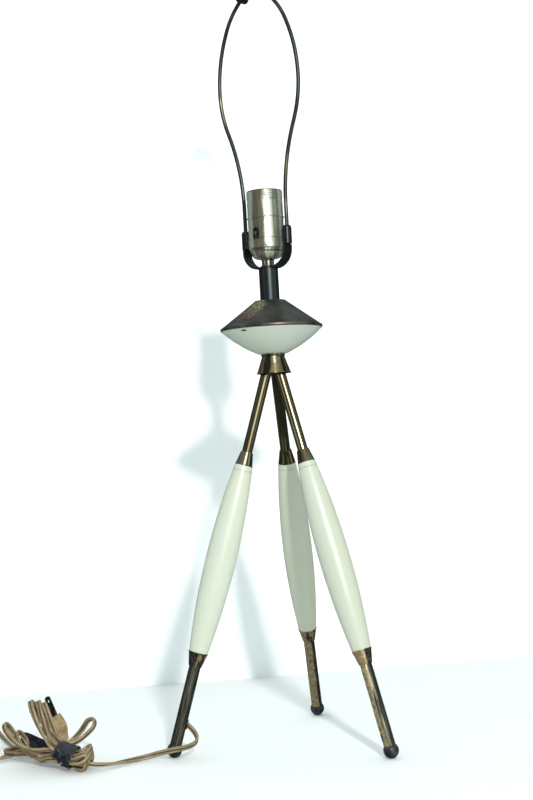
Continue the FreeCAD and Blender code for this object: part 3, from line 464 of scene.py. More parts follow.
iron, tree, shader = material_of("japanned_iron")
cast = noise(tree, own_place(tree), 700, 4)
rust = span(tree, noise(tree, own_place(tree), 180, 4), 0.62, 0.74)
settle(tree, shader, Base_Color=mixed(tree, rust, (0.018, 0.018, 0.019), (0.085, 0.040, 0.022)),
       Metallic=0.5, Roughness=span(tree, cast, 0.3, 0.7, 0.42, 0.62))
relief(tree, shader, cast, 0.00012)
skin(iron, "leg_hub")
# the collar's two patches, at -27 and 42 degrees from the near side, are painted shade
skin(polished_brass("collar_brass", lamp_place, (0.56, 0.51, 0.30), 0.10, (0.03, 0.03, 1),
                    ((-27, 0.0160, 0.3450, 0.0042), (42, 0.0160, 0.3440, 0.0020))),
     "collar_skirt")

# ---- the disc: two spun steel shells, rim to rim ----
# The lower one is stove-enamelled cream, chipped under its rim, and a nut holds it down. The
# upper one is bronze-plated over spinning rings, worn to gold and red where hands lift it.
rim_low, rim_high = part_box("disc_upper_shell")
disc_r = (rim_high.x - rim_low.x) / 2
enamel, tree, shader = material_of("cream_enamel")
place = lamp_place(tree)
cloud = span(tree, noise(tree, place, 30, 3), 0.3, 0.7)
soil = span(tree, noise(tree, place, 90, 6, (1, 1, 0.5)), 0.58, 0.80)
colour = mixed(tree, cloud, (0.455, 0.510, 0.445), (0.450, 0.492, 0.400))
colour = tinted(tree, colour, soil, 0.25, (0.45, 0.48, 0.40))
chip_at = ring_point(-34, disc_r - 0.0031, rim_low.z - 0.0022)
chip = patch(tree, place, chip_at, (0.0030, 0.0030, 0.0009), 0.7, 500)
edge = patch(tree, place, chip_at, (0.0040, 0.0040, 0.0014), 0.7, 500)
colour = tinted(tree, colour, edge, 0.5, (0.52, 0.50, 0.30))
colour = mixed(tree, chip, colour, (0.055, 0.045, 0.035))
settle(tree, shader, Base_Color=colour, Roughness=span(tree, soil, 0, 1, 0.28, 0.42),
       Coat_Weight=0.2, Coat_Roughness=0.15)
below = relief(tree, shader, noise(tree, place, 260, 3), 0.00003)
relief(tree, shader, span(tree, chip, 0, 1, 1.0, 0.0), 0.0002, below)
skin(enamel, "disc_lower_shell")


def spun_rings(tree, place, spacing):
    """Fine rings about the lamp's axis, 0 to 1: noise read along the distance from the axis."""
    apart = add(tree, "SeparateXYZ", Vector=place)
    flat = add(tree, "CombineXYZ", X=apart.outputs["X"], Y=apart.outputs["Y"])
    out = add(tree, "VectorMath", operation="LENGTH")
    tree.links.new(flat.outputs[0], out.inputs[0])
    line = add(tree, "CombineXYZ", X=out.outputs["Value"])
    return add(tree, "TexNoise", Vector=line.outputs[0], Scale=1 / spacing, Detail=4.0).outputs["Fac"]


bronze_plate, tree, shader = material_of("worn_bronze_plate")
place = lamp_place(tree)
rings = spun_rings(tree, place, 0.0011)
haze = span(tree, noise(tree, place, 55, 5), 0.35, 0.70)
fleck = noise(tree, place, 420, 6)
colour = mixed(tree, haze, (0.060, 0.058, 0.060), (0.130, 0.148, 0.126))
colour = mixed(tree, span(tree, rings, 0.35, 0.75, 0.0, 0.5), colour, (0.105, 0.098, 0.095))
gold = patch(tree, place, ring_point(-36, 0.0210, rim_high.z - 0.0065), (0.011, 0.0090, 0.0100), 1.1, 150)
red = patch(tree, place, ring_point(-45, 0.0305, rim_high.z - 0.0145), (0.011, 0.0120, 0.0075), 1.2, 150)
crumb = span(tree, fleck, 0.42, 0.60)
gold_wear = sum_of(tree, "MULTIPLY", gold, span(tree, fleck, 0.46, 0.58, 0.10, 1.0))
red_wear = sum_of(tree, "MULTIPLY", red, span(tree, fleck, 0.47, 0.60, 0.05, 1.0))
colour = mixed(tree, gold_wear, colour, (0.52, 0.47, 0.25))
colour = mixed(tree, red_wear, colour, mixed(tree, crumb, (0.45, 0.37, 0.20), (0.42, 0.22, 0.12)))
height = add(tree, "SeparateXYZ", Vector=place).outputs["Z"]
# a copper band along the rim's lower edge: worn plate, and also a painted highlight of the rolled rim
rim_wear_and_sheen = span(tree, height, rim_low.z + 0.0022, rim_low.z + 0.0036, 0.40, 0.0)
rim_copper_and_sheen = sum_of(tree, "MULTIPLY", rim_wear_and_sheen, span(tree, noise(tree, place, 70, 4), 0.45, 0.60))
colour = mixed(tree, rim_copper_and_sheen, colour, (0.33, 0.22, 0.13))
settle(tree, shader, Base_Color=colour, Metallic=0.85, Roughness=span(tree, rings, 0.3, 0.7, 0.34, 0.50))
below = relief(tree, shader, rings, 0.00004)
relief(tree, shader, fleck, 0.00003, below)
skin(bronze_plate, "disc_upper_shell")


def steel(name, base, rough, pitch=0.0):
    """Plated steel: slightly cloudy, with a thread's rings at the pitch where one is given."""
    made, tree, shader = material_of(name)
    place = own_place(tree)
    cloud = noise(tree, place, 240, 4)
    dark = tuple(0.6 * part for part in base)
    settle(tree, shader, Base_Color=mixed(tree, cloud, base, dark), Metallic=1.0,
           Roughness=span(tree, cloud, 0.3, 0.7, rough, rough + 0.15))
    below = relief(tree, shader, cloud, 0.00003)
    if pitch:
        waves = 1 / (20 * pitch) * math.tau / 2
        turns = add(tree, "TexWave", Vector=place, bands_direction="Z", Scale=waves)
        relief(tree, shader, turns.outputs["Fac"], 0.5 * pitch, below)
    return made


skin(steel("zinc_plate", (0.42, 0.42, 0.40), 0.32), "disc_nut")

# ---- rod, post and neck nut: the lamp's spine ----
# A hollow threaded steel rod runs from the hub to the socket's cap and clamps everything
# between its nuts. The post over it is bronze-plated tube. The neck nut is turned brass.
rod_pitch = 0.0014
skin(steel("threaded_rod_steel", (0.35, 0.34, 0.31), 0.36, rod_pitch), "centre_rod")


def dark_bronze(name, place_of, tint, draw, shine=0.26, rubbed=0):
    """Oil-blackened bronze plate: long draw marks, a slow blue to brown drift, and small worn
    points where the copper shows. Long stretches are rubbed down to brass where rubbed is over 0."""
    made, tree, shader = material_of(name)
    place = place_of(tree)
    marks = noise(tree, place, 700, 5, draw)
    drift = span(tree, noise(tree, place, 45, 3), 0.3, 0.7)
    worn = span(tree, noise(tree, place, 300, 5, (1, 1, 0.5), 4.0), 0.66, 0.76)
    brown = (tint[0] * 1.10, tint[1] * 0.98, tint[2] * 0.82)
    colour = mixed(tree, drift, tint, brown)
    colour = tinted(tree, colour, worn, 0.7, (0.19, 0.13, 0.085))
    if rubbed:
        bare = span(tree, noise(tree, place, 22, 3, (1, 1, 1), 6.0), 0.50, 0.62, 0.0, rubbed)
        colour = mixed(tree, bare, colour, (0.36, 0.29, 0.16))
    settle(tree, shader, Base_Color=colour, Metallic=0.9,
           Roughness=span(tree, marks, 0.3, 0.7, shine, shine + 0.14))
    relief(tree, shader, marks, 0.00002)
    return made


skin(dark_bronze("post_bronze", lamp_place, (0.052, 0.066, 0.076), (1, 1, 0.03)), "post_tube")
skin(polished_brass("neck_brass", lamp_place, (0.68, 0.66, 0.58), 0.02, (0.03, 0.03, 1)), "neck_nut")

# ---- the harp: saddle, two wires, sleeves, bridge and shade post ----
# The saddle is bent strap, clamped under the neck nut. The harp is drawn steel wire with a
# stamped bridge, its sleeves slide up to free it, and all of it is bronze-plated.
skin(dark_bronze("saddle_bronze", lamp_place, (0.036, 0.046, 0.054), (1, 1, 0.1), 0.30), "harp_saddle")
skin(dark_bronze("wire_bronze", lamp_place, (0.050, 0.060, 0.064), (1, 1, 0.04), 0.30, 0.40),
     "harp_wire_left", "harp_wire_right")
skin(dark_bronze("sleeve_bronze", lamp_place, (0.040, 0.044, 0.055), (1, 1, 0.05), 0.24),
     "harp_sleeve_left", "harp_sleeve_right")
skin(dark_bronze("bridge_bronze", lamp_place, (0.042, 0.046, 0.057), (0.1, 1, 1), 0.28), "harp_bridge")


def surface(name, grid, round_rows=False, round_columns=False):
    """A mesh from a grid of points, rows by columns. Each cell is a quad of its four corners;
    a round grid joins its last row or column to its first, and open rows end in flat faces."""
    rows, columns = grid.shape[:2]
    index = np.arange(rows * columns).reshape(rows, columns)
    ring_index = np.vstack([index, index[:1]]) if round_rows else index
    if round_columns:
        ring_index = np.hstack([ring_index, ring_index[:, :1]])
    quads = np.stack([ring_index[:-1, :-1], ring_index[:-1, 1:],
                      ring_index[1:, 1:], ring_index[1:, :-1]], -1)
    faces = quads.reshape(-1, 4).tolist()
    if round_columns and not round_rows:
        faces += [index[0][::-1].tolist(), index[-1].tolist()]
    mesh = bpy.data.meshes.new(name)
    mesh.from_pydata(grid.reshape(-1, 3).tolist(), [], faces)
    mesh.shade_smooth()
    piece = bpy.data.objects.new(name, mesh)
    bpy.context.scene.collection.objects.link(piece)
    return piece


def threaded(name, outline, pitch, depth, low, high, columns=96, root=None):
    """A solid turned about the lamp's axis with a helical thread. The outline is a closed loop
    of (r, z), walked with the solid on its left; a point whose z lies between low and high is
    moved inwards by depth * (1 - cos(2 pi (z / pitch - turn)))/2, faded over one pitch at
    each end, where turn goes from 0 to 1 round the axis. Where a root radius is given, only
    the wall at that radius is threaded."""
    r, z = np.array(outline).T
    turn = np.arange(columns) / columns
    fade = np.clip((z - low) / pitch, 0, 1) * np.clip((high - z) / pitch, 0, 1)
    wave = 0.5 - 0.5 * np.cos(2 * np.pi * (z[:, None] / pitch - turn))
    wall = 1.0 if root is None else np.abs(r - root) < 1e-6
    across = r[:, None] - (depth * fade * wall)[:, None] * wave
    angle = 2 * np.pi * turn
    grid = np.stack([across * np.cos(angle), axis_y + across * np.sin(angle),
                     np.broadcast_to(z[:, None], across.shape)], -1)
    return surface(name, grid, round_rows=True, round_columns=True)


def along_line(start, end, count):
    """Count points from start towards end, without the end."""
    share = np.arange(count)[:, None] / count
    return (np.array(start) * (1 - share) + np.array(end) * share).tolist()


post_low, post_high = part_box("shade_post")
post_thread_r = 0.00305
post_head_r = (post_high.x - post_low.x) / 2
post_thread_long = 0.0130
post_pitch = 0.00094
post_thread_deep = 0.00045
post_head_high = 0.0012
post_seat = post_high.z - post_thread_long - post_head_high
post_outline = (
    [(0.0002, post_low.z)] + along_line((0.0034, post_low.z), (0.0038, post_low.z + 0.0011), 2)
    + [(0.0039, post_low.z + 0.0013), (0.0024, post_low.z + 0.00132), (0.0024, post_seat - 0.00002),
       (post_head_r - 0.0003, post_seat), (post_head_r, post_seat + 0.0003),
       (post_head_r, post_seat + 0.0009), (post_head_r - 0.0003, post_seat + post_head_high)]
    + along_line((post_thread_r, post_seat + 0.00125), (post_thread_r, post_high.z - 0.0006), 90)
    + [(post_thread_r, post_high.z - 0.0006), (post_thread_r - 0.0006, post_high.z), (0.0002, post_high.z)])
shade_post = threaded("shade_post_turned", post_outline, post_pitch, post_thread_deep,
                      post_seat + post_head_high, post_high.z - 0.0005, 48)
wear(shade_post, dark_bronze("shade_post_bronze", lamp_place, (0.060, 0.064, 0.066), (1, 1, 1), 0.26))
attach(shade_post, "harp")
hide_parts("shade_post")

# ---- the socket's casing: cap, shell and set screw ----
# Both are spun brass, and the shell snaps into the cap, with a notch that clears the switch.
# They have silvered with age and handling, and the cap is dented where pliers held it.
shell_low, shell_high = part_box("socket_shell")


def aged_socket_brass(name, dent_depth):
    """Thin silvered brass: upright painted reflection streaks, a green cast in patches, brown specks,
    and low dents."""
    made, tree, shader = material_of(name)
    place = lamp_place(tree)
    streak = noise(tree, place, 260, 5, (1, 1, 0.05))
    green = span(tree, noise(tree, place, 70, 4, (1, 1, 0.5), 1.0), 0.45, 0.70)
    speck = span(tree, noise(tree, place, 520, 5, (1, 1, 1), 2.0), 0.66, 0.74)
    # painted reflection: upright streaks of lighter and darker colour
    colour = mixed(tree, span(tree, streak, 0.3, 0.7), (0.78, 0.83, 0.70), (0.52, 0.56, 0.44))
    colour = tinted(tree, colour, green, 0.5, (0.40, 0.44, 0.33))
    # upright bands of painted shade, tinted brown and green, set about the near side, and a dark green band
    # round the near side of the cap
    for azimuth, up, half, high, share, tint in (
            (-27, 0.0180, 0.0060, 0.0600, 0.85, (0.175, 0.155, 0.100)),
            (-32, 0.0210, 0.0028, 0.0250, 0.55, (0.100, 0.090, 0.058)),
            (36, 0.0190, 0.0036, 0.0600, 0.75, (0.140, 0.185, 0.115)),
            (74, 0.0120, 0.0050, 0.0300, 0.55, (0.120, 0.140, 0.110)),
            (18, -0.0048, 0.0130, 0.0013, 0.75, (0.070, 0.095, 0.070)),
            (-40, -0.0030, 0.0070, 0.0016, 0.60, (0.075, 0.085, 0.060))):
        band_at = ring_point(azimuth, 0.0166, shell_low.z + up)
        band = patch(tree, place, band_at, (0.0090, half, high), 0.7, 160)
        colour = tinted(tree, colour, band, share, tint)
    colour = tinted(tree, colour, speck, 0.6, (0.13, 0.10, 0.06))
    height = add(tree, "SeparateXYZ", Vector=place).outputs["Z"]
    lip = span(tree, height, shell_high.z - 0.0016, shell_high.z - 0.0007, 0.0, 0.8)
    colour = mixed(tree, lip, colour, (0.14, 0.085, 0.045))
    settle(tree, shader, Base_Color=colour, Metallic=0.72,
           Roughness=span(tree, streak, 0.3, 0.7, 0.26, 0.42))
    below = relief(tree, shader, streak, 0.000015)
    relief(tree, shader, span(tree, noise(tree, place, 110, 2), 0.35, 0.65), dent_depth, below)
    return made


skin(aged_socket_brass("silvered_cap", 0.00045), "socket_cap")
skin(aged_socket_brass("silvered_shell", 0.00010), "socket_shell")
skin(steel("screw_steel", (0.30, 0.28, 0.25), 0.35), "cap_set_screw")

# ---- inside the socket: fibre sleeve, moulded core, terminals, screw shell and contact ----
# The core is pressed phenolic with a mottle of brown filler. A rolled brass shell with the
# lamp's thread stands on it round a riveted contact, and a fish-paper sleeve lines the casing.
fibre, tree, shader = material_of("fish_paper")
place = own_place(tree)
flock = noise(tree, place, 600, 5, (1, 1, 0.4))
colour = mixed(tree, flock, (0.020, 0.020, 0.018), (0.060, 0.056, 0.046))
settle(tree, shader, Base_Color=colour, Roughness=0.8)
relief(tree, shader, flock, 0.00008)
skin(fibre, "insulator_sleeve")

phenolic, tree, shader = material_of("brown_phenolic")
swirl = noise(tree, own_place(tree), 190, 6)
# the core's colour is its own dark brown, made near black as painted shade in the switch's notch
colour = mixed(tree, span(tree, swirl, 0.4, 0.65), (0.010, 0.008, 0.007), (0.030, 0.018, 0.012))
settle(tree, shader, Base_Color=colour, Roughness=span(tree, swirl, 0.3, 0.7, 0.25, 0.42))
relief(tree, shader, noise(tree, own_place(tree), 900, 2), 0.00003)
skin(phenolic, "socket_body")
skin(polished_brass("terminal_brass", own_place, (0.55, 0.44, 0.22), 0.12, (1, 1, 1)),
     "terminal_screws", "centre_contact")

screw_low, screw_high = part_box("screw_shell")
screw_pitch = 0.00363
screw_root_r = 0.01315
screw_outer_r = 0.01355
screw_window_r = 0.0080
screw_thread_deep = 0.00065
screw_floor = screw_low.z + 0.0005
screw_lip_z = screw_high.z
screw_outline = (
    along_line((screw_window_r, screw_low.z), (screw_outer_r, screw_low.z), 4)
    + along_line((screw_outer_r, screw_low.z), (screw_outer_r, screw_lip_z - 0.0010), 6)
    + [(screw_outer_r, screw_lip_z - 0.0010), (screw_outer_r + 0.0005, screw_lip_z - 0.0005),
       (screw_outer_r, screw_lip_z)]
    + along_line((screw_root_r, screw_lip_z), (screw_root_r, screw_floor), 120)
    + along_line((screw_root_r, screw_floor), (screw_window_r, screw_floor), 4)
    + [(screw_window_r, screw_floor)])
screw_shell = threaded("lamp_screw_shell", screw_outline, screw_pitch, screw_thread_deep,
                       screw_low.z + 0.0025, screw_high.z - 0.0022, root=screw_root_r)
wear(screw_shell, polished_brass("screw_shell_brass", lamp_place, (0.60, 0.52, 0.32), 0.06, (0.05, 0.05, 1)))
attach(screw_shell, "root")
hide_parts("screw_shell")

# ---- the switch's shaft: turned steel, with a square cam ----
# It turns in a bore across the core and works the contacts. The key that fitted its end has
# come away, so the slot there shows.
skin(steel("switch_steel", (0.50, 0.48, 0.42), 0.25), "switch_shaft")

# ---- the lead inside, and its bush ----
# The lead runs down the rod and the left leg as one round bundle. A rubber bush lines the hole
# where it leaves the tube.
sheath_tint = (0.235, 0.150, 0.075)
inner_sheath, tree, shader = material_of("inner_sheath")
grime = noise(tree, own_place(tree), 240, 4)
settle(tree, shader, Base_Color=mixed(tree, grime, sheath_tint, (0.13, 0.085, 0.045)), Roughness=0.5)
relief(tree, shader, grime, 0.00004)
skin(inner_sheath, "internal_lead")
skin(rubber, "cord_grommet")

# ---- free lead: flat twin cord, from the left leg's bush to the plug ----
# Two stranded conductors lie side by side in one soft tan sheath, with a groove between them.
# It is an extruded lead; it bends easily the thin way, so each fold turns about its width.
mm = 0.001
cord_width = 0.0050
cord_half_thick = 0.00133
cord_half_apart = cord_width / 2 - cord_half_thick
cord_route = [
    (-0.08705, -0.07809, 0.02904), (-0.08007, -0.07406, 0.02134),
    (-0.0735, -0.0850, 0.0145), (-0.0790, -0.0960, 0.0120), (-0.0920, -0.0975, 0.0100),
    (-0.1080, -0.0950, 0.0060), (-0.1210, -0.0985, 0.0032), (-0.1320, -0.1090, 0.0030),
    (-0.1430, -0.1210, 0.0034), (-0.1535, -0.1295, 0.0050), (-0.1620, -0.1315, 0.0070),
]


def unit(vectors):
    """A vector, or each of a row of vectors, over its length."""
    return vectors / np.linalg.norm(vectors, axis=-1, keepdims=True)


tie_place = np.array((-0.1805, -0.1290, 0.0128))
tie_axis = unit(np.array((-0.88, 0.16, 0.40)))
tie_side = unit(np.cross(tie_axis, (0, 0, 1.0)))
tie_up = np.cross(tie_side, tie_axis)
tie_half = 0.008
lane_radius = 0.0063
lane_first = 20
lane_turn = 150


def lane(step, side):
    """Where the cord passes the tie's end for the step-th time: lane_turn degrees on from the last,
    on a small circle about the tie's axis. Side is 1 at the long folds' end and -1 at the other."""
    angle = math.radians(lane_turn * step + lane_first)
    return tie_place + side * tie_half * tie_axis + lane_radius * (
        math.cos(angle) * tie_side + math.sin(angle) * tie_up)


def fold(start, end, tip, across, bow, count):
    """Points of one fold of the hank, from start to the tip and back to end. Its reach goes as
    sin(pi t), its two legs stand apart by sin(2 pi t) times the part of across square to it,
    and both bow aside together, most at mid leg."""
    t = (np.arange(count) + 0.5)[:, None] / count
    reach = tip - (start + end) / 2
    across = across - reach * (across @ reach) / (reach @ reach)
    rise = np.sin(np.pi * t)
    apart = np.sin(2 * np.pi * t) * (0.3 + 0.7 * rise) * 1.15
    return start + (end - start) * t + rise * reach + apart * across + 4 * rise * (1 - rise) * bow


def scaled(rows):
    """Rows of millimetres as arrays of metres."""
    return np.array(rows) * mm


long_folds = [
    # tip, half width and bow, in millimetres
    ((-213.2, -123, 58.5), (-4, 9.5, -2), (0, -2, -4)),
    ((-243.5, -109.5, 35.5), (-5, 12, -3), (-4, -3, -13)),
    ((-202.5, -121, 56), (-4, 9.5, -2), (0, -2, -1)),
    ((-233, -106, 27.5), (-5, 14, -3), (-3, -2, -12)),
    ((-208, -119, 57.5), (-4, 9.5, -2), (0, -2, -3)),
]
short_half = 0.0055
short_tips = [
    (-158, -130, 14.5), (-158.5, -121.5, 10), (-156.5, -135.5, 13),
    (-158, -126, 7.4), (-158.5, -136.5, 9.6), (-157, -130, 18.5),
]
hank_points = []
for turn, tip in enumerate(short_tips):
    start, end = lane(2 * turn, 1), lane(2 * turn + 1, 1)
    if turn < len(long_folds):
        hank_points.append(fold(start, end, *scaled(long_folds[turn]), 14))
    else:
        # the widest turn of the hank lies open on the floor
        hank_points.append(scaled([
            (-194, -120, 12), (-206, -106, 9), (-221, -90, 6), (-239, -77, 3.6), (-258, -63, 2.8),
            (-277, -38, 2.8), (-295, -13, 2.8), (-309, 10, 2.8), (-326, 20, 2.8), (-340, 4, 2.8),
            (-341, -30, 2.8), (-340, -60, 2.8), (-333, -90, 2.8), (-317, -113, 2.8), (-295, -125, 2.8),
            (-272, -122, 2.8), (-255, -104, 2.8), (-242, -85, 5.5), (-224, -87, 8), (-207, -103, 9),
            (-194, -119, 10)]))
    start, end = lane(2 * turn + 1, -1), lane(2 * turn + 2, -1)
    reach = scaled(tip) - (start + end) / 2
    gap = unit(np.cross(np.cross(reach, start - end), reach))
    hank_points.append(fold(start, end, scaled(tip), short_half * gap, 0 * gap, 10))
# the last turn is short, and comes back behind the others to loop up into the plug
start, end = lane(2 * len(short_tips), 1), scaled((-197.6, -107.3, 13.4))
hank_points.append(fold(start, end, *scaled([(-254, -84, 6.5), (5.5, 11, 0), (0, 3, -3)]), 14))
hank_points.append(scaled([
    (-190.5, -108.6, 15.5), (-183.6, -106.2, 17.1), (-177.7, -101.7, 19.5), (-171.6, -97.3, 24.6),
    (-167.3, -92.0, 29.0), (-168.4, -86.8, 35), (-175.6, -85.1, 34), (-181, -82.8, 26.6),
    (-186.2, -82.1, 20.6), (-190.5, -84.1, 16.6), (-194.2, -86.2, 12.9), (-196.8, -87.6, 13)]))
plug_base = Vector((-0.1980, -0.0880, 0.0145))
plug_lean = Vector((-12.5, -2.9, 21.4)).normalized()
cord_controls = np.concatenate([
    cord_route, *hank_points, [tuple(plug_base + plug_lean * 0.004)]])


def spline_line(points):
    """The smooth line of a NURBS spline that has those control points."""
    data = bpy.data.curves.new("route", "CURVE")
    data.dimensions = "3D"
    spline = data.splines.new("NURBS")
    spline.points.add(len(points) - 1)
    spline.points.foreach_set("co", np.column_stack([points, np.ones(len(points))]).ravel())
    spline.order_u = 3
    spline.use_endpoint_u = True
    spline.resolution_u = 10
    holder = bpy.data.objects.new("route", data)
    bpy.context.scene.collection.objects.link(holder)
    bpy.context.view_layer.update()
    mesh = bpy.data.meshes.new_from_object(holder)
    line = np.zeros(len(mesh.vertices) * 3)
    mesh.vertices.foreach_get("co", line)
    bpy.data.objects.remove(holder)
    bpy.data.meshes.remove(mesh)
    return line.reshape(-1, 3)


def spaced(line, step):
    """The same line with its points about a step apart, evenly, and how far along each lies."""
    far = np.concatenate([[0], np.cumsum(np.linalg.norm(np.diff(line, axis=0), axis=1))])
    at = np.linspace(0, far[-1], int(far[-1] / step) + 1)
    return np.stack([np.interp(at, far, line[:, k]) for k in range(3)], 1), at


def widths_along(line, hold):
    """Unit tangents, and at each point the direction of the cord's width: square to the tangent,
    turned towards the axis that the cord bends about, and smoothed so that it twists slowly.
    The angle solves (bend + hold * second difference) angle = bend * bend's own angle."""
    tangents = unit(np.gradient(line, axis=0))
    side = np.cross(tangents[0], (0, 0, 1.0))
    sides = []
    for tangent in tangents:
        side = unit(side - tangent * (side @ tangent))
        sides.append(side)
    sides = np.array(sides)
    ups = np.cross(tangents, sides)
    bend = np.cross(tangents, np.gradient(tangents, axis=0))
    want = np.arctan2((bend * ups).sum(1), (bend * sides).sum(1))
    want = np.unwrap(2 * want) / 2
    weight = np.linalg.norm(bend, axis=1)
    weight = weight / weight.mean()
    matrix = np.diag(weight + 2 * hold)
    index = np.arange(len(line) - 1)
    matrix[index, index + 1] = -hold
    matrix[index + 1, index] = -hold
    matrix[0, 0] -= hold
    matrix[-1, -1] -= hold
    angle = np.linalg.solve(matrix, weight * want)
    return tangents, sides * np.cos(angle)[:, None] + ups * np.sin(angle)[:, None]


groove_share = 0.42
groove_wide = 0.00045


def twin_section(count):
    """The lead's outline, two round halves side by side: x is the cosine with its middle part
    stretched, y is the sine, and a bell curve about x = 0 takes the groove out of y."""
    angle = 2 * np.pi * np.arange(count) / count
    lean = np.cos(angle)
    x = cord_half_apart * lean / np.sqrt(lean ** 2 + 0.05) * math.sqrt(1.05) + cord_half_thick * lean
    y = cord_half_thick * np.sin(angle) * (1 - groove_share * np.exp(-(x / groove_wide) ** 2))
    return np.stack([x, y], 1)


ring_step = 0.0018
twist_hold = 60.0
cord_line, cord_far = spaced(spline_line(cord_controls), ring_step)
cord_ahead, cord_side = widths_along(cord_line, twist_hold)
cord_thick = np.cross(cord_ahead, cord_side)
section = twin_section(24)
grid = (cord_line[:, None] + section[None, :, :1] * cord_side[:, None]
        + section[None, :, 1:] * cord_thick[:, None])
lead = surface("lead", grid, round_columns=True)


def mark(piece, name, values):
    """Stores one number a point on the piece, for its material to read."""
    piece.data.attributes.new(name, "FLOAT", "POINT").data.foreach_set("value", values.ravel())


mark(lead, "along", np.repeat(cord_far, len(section)))
mark(lead, "across", np.tile(section[:, 0] / section[:, 0].max(), len(cord_line)))


def read(tree, name):
    """The number stored on the piece under that name."""
    return add(tree, "Attribute", attribute_name=name).outputs["Fac"]


tan_sheath, tree, shader = material_of("tan_sheath")
place = own_place(tree)
along = add(tree, "CombineXYZ", X=read(tree, "along"), Y=read(tree, "across")).outputs[0]
tone = span(tree, noise(tree, along, 30, 3, (1, 12, 1)), 0.36, 0.64)
grime = span(tree, noise(tree, place, 170, 5), 0.45, 0.72)
colour = mixed(tree, tone, (0.380, 0.300, 0.150), (0.205, 0.150, 0.095))
colour = mixed(tree, span(tree, noise(tree, along, 9, 2, (1, 0.02, 1), 3.0), 0.50, 0.72, 0.0, 0.6), colour,
               (0.40, 0.200, 0.150))
colour = tinted(tree, colour, grime, 0.55, (0.110, 0.092, 0.062))
# painted shade along the groove between the two conductors
painted_groove_shade = span(tree, sum_of(tree, "ABSOLUTE", read(tree, "across")), 0.06, 0.40, 0.95, 0.0)
colour = mixed(tree, painted_groove_shade, colour, (0.035, 0.026, 0.016))
settle(tree, shader, Base_Color=colour, Roughness=span(tree, grime, 0, 1, 0.34, 0.55),
       Specular_IOR_Level=0.55, Subsurface_Weight=0.0)
relief(tree, shader, noise(tree, place, 900, 3), 0.00004)
wear(lead, tan_sheath)
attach(lead, "root")
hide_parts("cord_tube", "cord_hank")

# ---- the hank's tie: a vinyl strap ----
# It is wound nearly three times round the waist of the hank, with one end tucked in
# and the other trailing off behind the folds.


def strap(name, line, sides, width, thickness):
    """A flat strap with rounded edges along a line: its section is a flattened superellipse,
    |x/a|^4 + |y/b|^2 = 1, with x along the given side directions."""
    tangents = unit(np.gradient(line, axis=0))
    sides = unit(sides - tangents * (sides * tangents).sum(1)[:, None])
    ups = np.cross(tangents, sides)
    angle = 2 * np.pi * np.arange(20) / 20
    x = width / 2 * np.ones((len(line), 1)) * np.sign(np.cos(angle)) * np.abs(np.cos(angle)) ** 0.5
    y = thickness / 2 * np.sin(angle)
    return surface(name, line[:, None] + x[..., None] * sides[:, None] + y[None, :, None] * ups[:, None],
                   round_columns=True)


tie_turns = 2.7
tie_r = 0.0088
tie_start = 0.0045
tie_travel = 0.0130
strap_wide = 0.0082
strap_thick = 0.0009
strap_rise = 0.0014
strap_lowest = 0.0050
wound = np.linspace(0, 1, 220)[:, None]
angle = 2 * np.pi * (tie_turns * wound + 0.15)
slack = 1 + 0.05 * np.sin(2.3 * angle + 0.7) + 0.02 * np.sin(9.1 * angle + 2.0)
wrap = (tie_place + tie_axis * (tie_start - tie_travel * wound)
        + (tie_r + 0.0010 * wound) * slack * (np.cos(angle) * tie_side + np.sin(angle) * tie_up))
wrap_side = tie_axis + 0.30 * np.sin(1.7 * angle) * tie_side + 0.22 * np.cos(2.9 * angle) * tie_up
# where a turn would pass under the floor, it is pressed flat on it
wrap[:, 2] = np.maximum(wrap[:, 2] + strap_rise, strap_lowest)
wrap_tie = strap("hank_strap", wrap, wrap_side, strap_wide, strap_thick)
vinyl = moulded("navy_vinyl", (260, 5), (0.50, 0.72), ((0.008, 0.009, 0.016), (0.030, 0.032, 0.046)),
                (0.06, 0.22), (210, 2), 0.00110, Coat_Weight=1.0, Coat_Roughness=0.05)
wear(wrap_tie, vinyl)
tail_points = scaled([
    (-192.0, -119.0, 12.0), (-201.3, -115.3, 14.4), (-210.0, -110.6, 16.2), (-219.5, -105.6, 18.0),
    (-228.0, -101.3, 19.9), (-235.0, -99.0, 20.6)])
tail_line, tail_far = spaced(spline_line(tail_points), 0.0006)
tail_side = np.cross(np.array(forward), np.gradient(tail_line, axis=0))
# the tail is wider than the turns, and rounds off over its last 7 mm
tail_wide = 0.0125
tail_thick = 0.0010
tail_round = 0.007
tail_end = np.clip(1 - (tail_far[-1] - tail_far) / tail_round, 0, 0.98)
tail_widths = tail_wide * np.sqrt(1 - tail_end ** 3)[:, None]
tail = strap("hank_strap_tail", tail_line, tail_side, tail_widths, tail_thick)
wear(tail, vinyl)
for piece in (wrap_tie, tail):
    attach(piece, "root")
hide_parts("hank_tie")

# ---- the plug: a moulded body with two brass blades ----
# The body is pressed in one piece round the blades and the lead, with grip grooves on its flat
# sides and a short sleeve at its neck. The blades are bent apart by use and have gone dark.
plug_long = 0.0240
plug_neck_half = (0.0043, 0.0040)
plug_swell = (0.0065, 0.0022)
plug_power = 4.5
grip_from = 0.22
grip_to = 0.62
grip_apart = 0.10
grip_deep = 0.00045
plug_turn = math.radians(67.0)
plug_stance = Vector((0, 0, 1)).rotation_difference(plug_lean) @ Quaternion((0, 0, 1), plug_turn)
plug_x = np.array(plug_stance @ Vector((1, 0, 0)))
plug_y = np.array(plug_stance @ Vector((0, 1, 0)))
plug_z = np.array(plug_lean)


def ease(value):
    """3 v^2 - 2 v^3, held to 0 below 0 and to 1 above 1."""
    value = np.clip(value, 0, 1)
    return value * value * (3 - 2 * value)


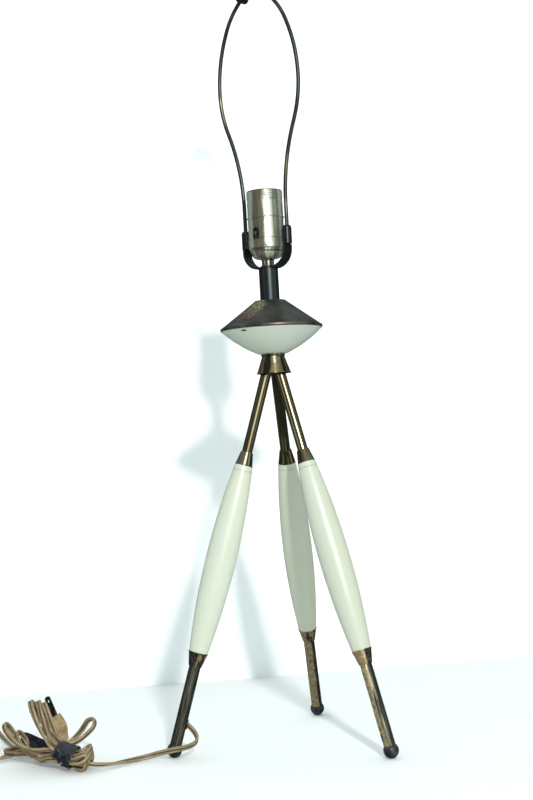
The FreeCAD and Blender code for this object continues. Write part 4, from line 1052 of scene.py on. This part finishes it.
def plug_shape():
    """The plug's sections, from its neck to its face. At share s the half width eases from neck
    to full, and both half sizes round off at the two ends as sqrt(1 - u^4); the section is the
    superellipse of plug_power, and four grip grooves cross each flat side."""
    s = np.concatenate([[0, 0.004], np.linspace(0.02, 0.98, 56), [0.996, 1]])
    wide = plug_neck_half[0] + plug_swell[0] * ease(s / 0.62)
    deep = plug_neck_half[1] + plug_swell[1] * ease(s / 0.40)
    shut = np.sqrt(np.clip(1 - np.clip((s - 0.965) / 0.035, 0, 0.97) ** 4, 0, 1))
    shut *= np.sqrt(np.clip(1 - np.clip((0.05 - s) / 0.05, 0, 0.9) ** 4, 0, 1))
    angle = 2 * np.pi * np.arange(64) / 64
    cos, sin = np.cos(angle), np.sin(angle)
    x = np.sign(cos) * np.abs(cos) ** (2 / plug_power)
    y = np.sign(sin) * np.abs(sin) ** (2 / plug_power)
    wave = 0.5 - 0.5 * np.cos(2 * np.pi * (s - grip_from) / grip_apart)
    grip = np.where((s > grip_from) & (s < grip_to), wave, 0)
    sunk = grip_deep * grip[:, None] * np.sign(y) * (np.abs(y) > 0.75)
    across = (wide * shut)[:, None] * x
    thick = (deep * shut)[:, None] * y - sunk
    return (np.array(plug_base) + s[:, None, None] * plug_long * plug_z
            + across[..., None] * plug_x + thick[..., None] * plug_y)


plug = surface("plug_moulding", plug_shape(), round_columns=True)
sleeve_count = 9
sleeve_line = cord_line[-sleeve_count:]
swell = np.linspace(0, 1, sleeve_count)[:, None]
angle = 2 * np.pi * np.arange(24) / 24
sleeve_x = (0.0027 + 0.0013 * swell) * np.cos(angle)
sleeve_y = (0.0016 + 0.0020 * swell) * np.sin(angle)
plug_neck = surface("plug_neck", sleeve_line[:, None] + sleeve_x[..., None] * cord_side[-sleeve_count:, None]
                    + sleeve_y[..., None] * cord_thick[-sleeve_count:, None], round_columns=True)
moulding = moulded("tan_moulding", (210, 6), (0.35, 0.70), ((0.395, 0.300, 0.150), (0.235, 0.160, 0.085)),
                   (0.32, 0.5), (700, 3), 0.00005)
for piece in (plug, plug_neck):
    wear(piece, moulding)
    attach(piece, "root")
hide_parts("plug_body")

blades, tree, shader = material_of("dark_blade_brass")
place = own_place(tree)
dark_patch = span(tree, noise(tree, place, 240, 5), 0.40, 0.66)
scratch = span(tree, noise(tree, place, 1500, 3, (0.05, 1, 0.05)), 0.58, 0.70)
colour = mixed(tree, dark_patch, (0.060, 0.062, 0.055), (0.022, 0.024, 0.024))
settle(tree, shader, Base_Color=mixed(tree, scratch, colour, (0.20, 0.18, 0.13)), Metallic=0.9,
       Roughness=span(tree, dark_patch, 0, 1, 0.28, 0.5))
relief(tree, shader, dark_patch, 0.00004)
skin(blades, "plug_blades")
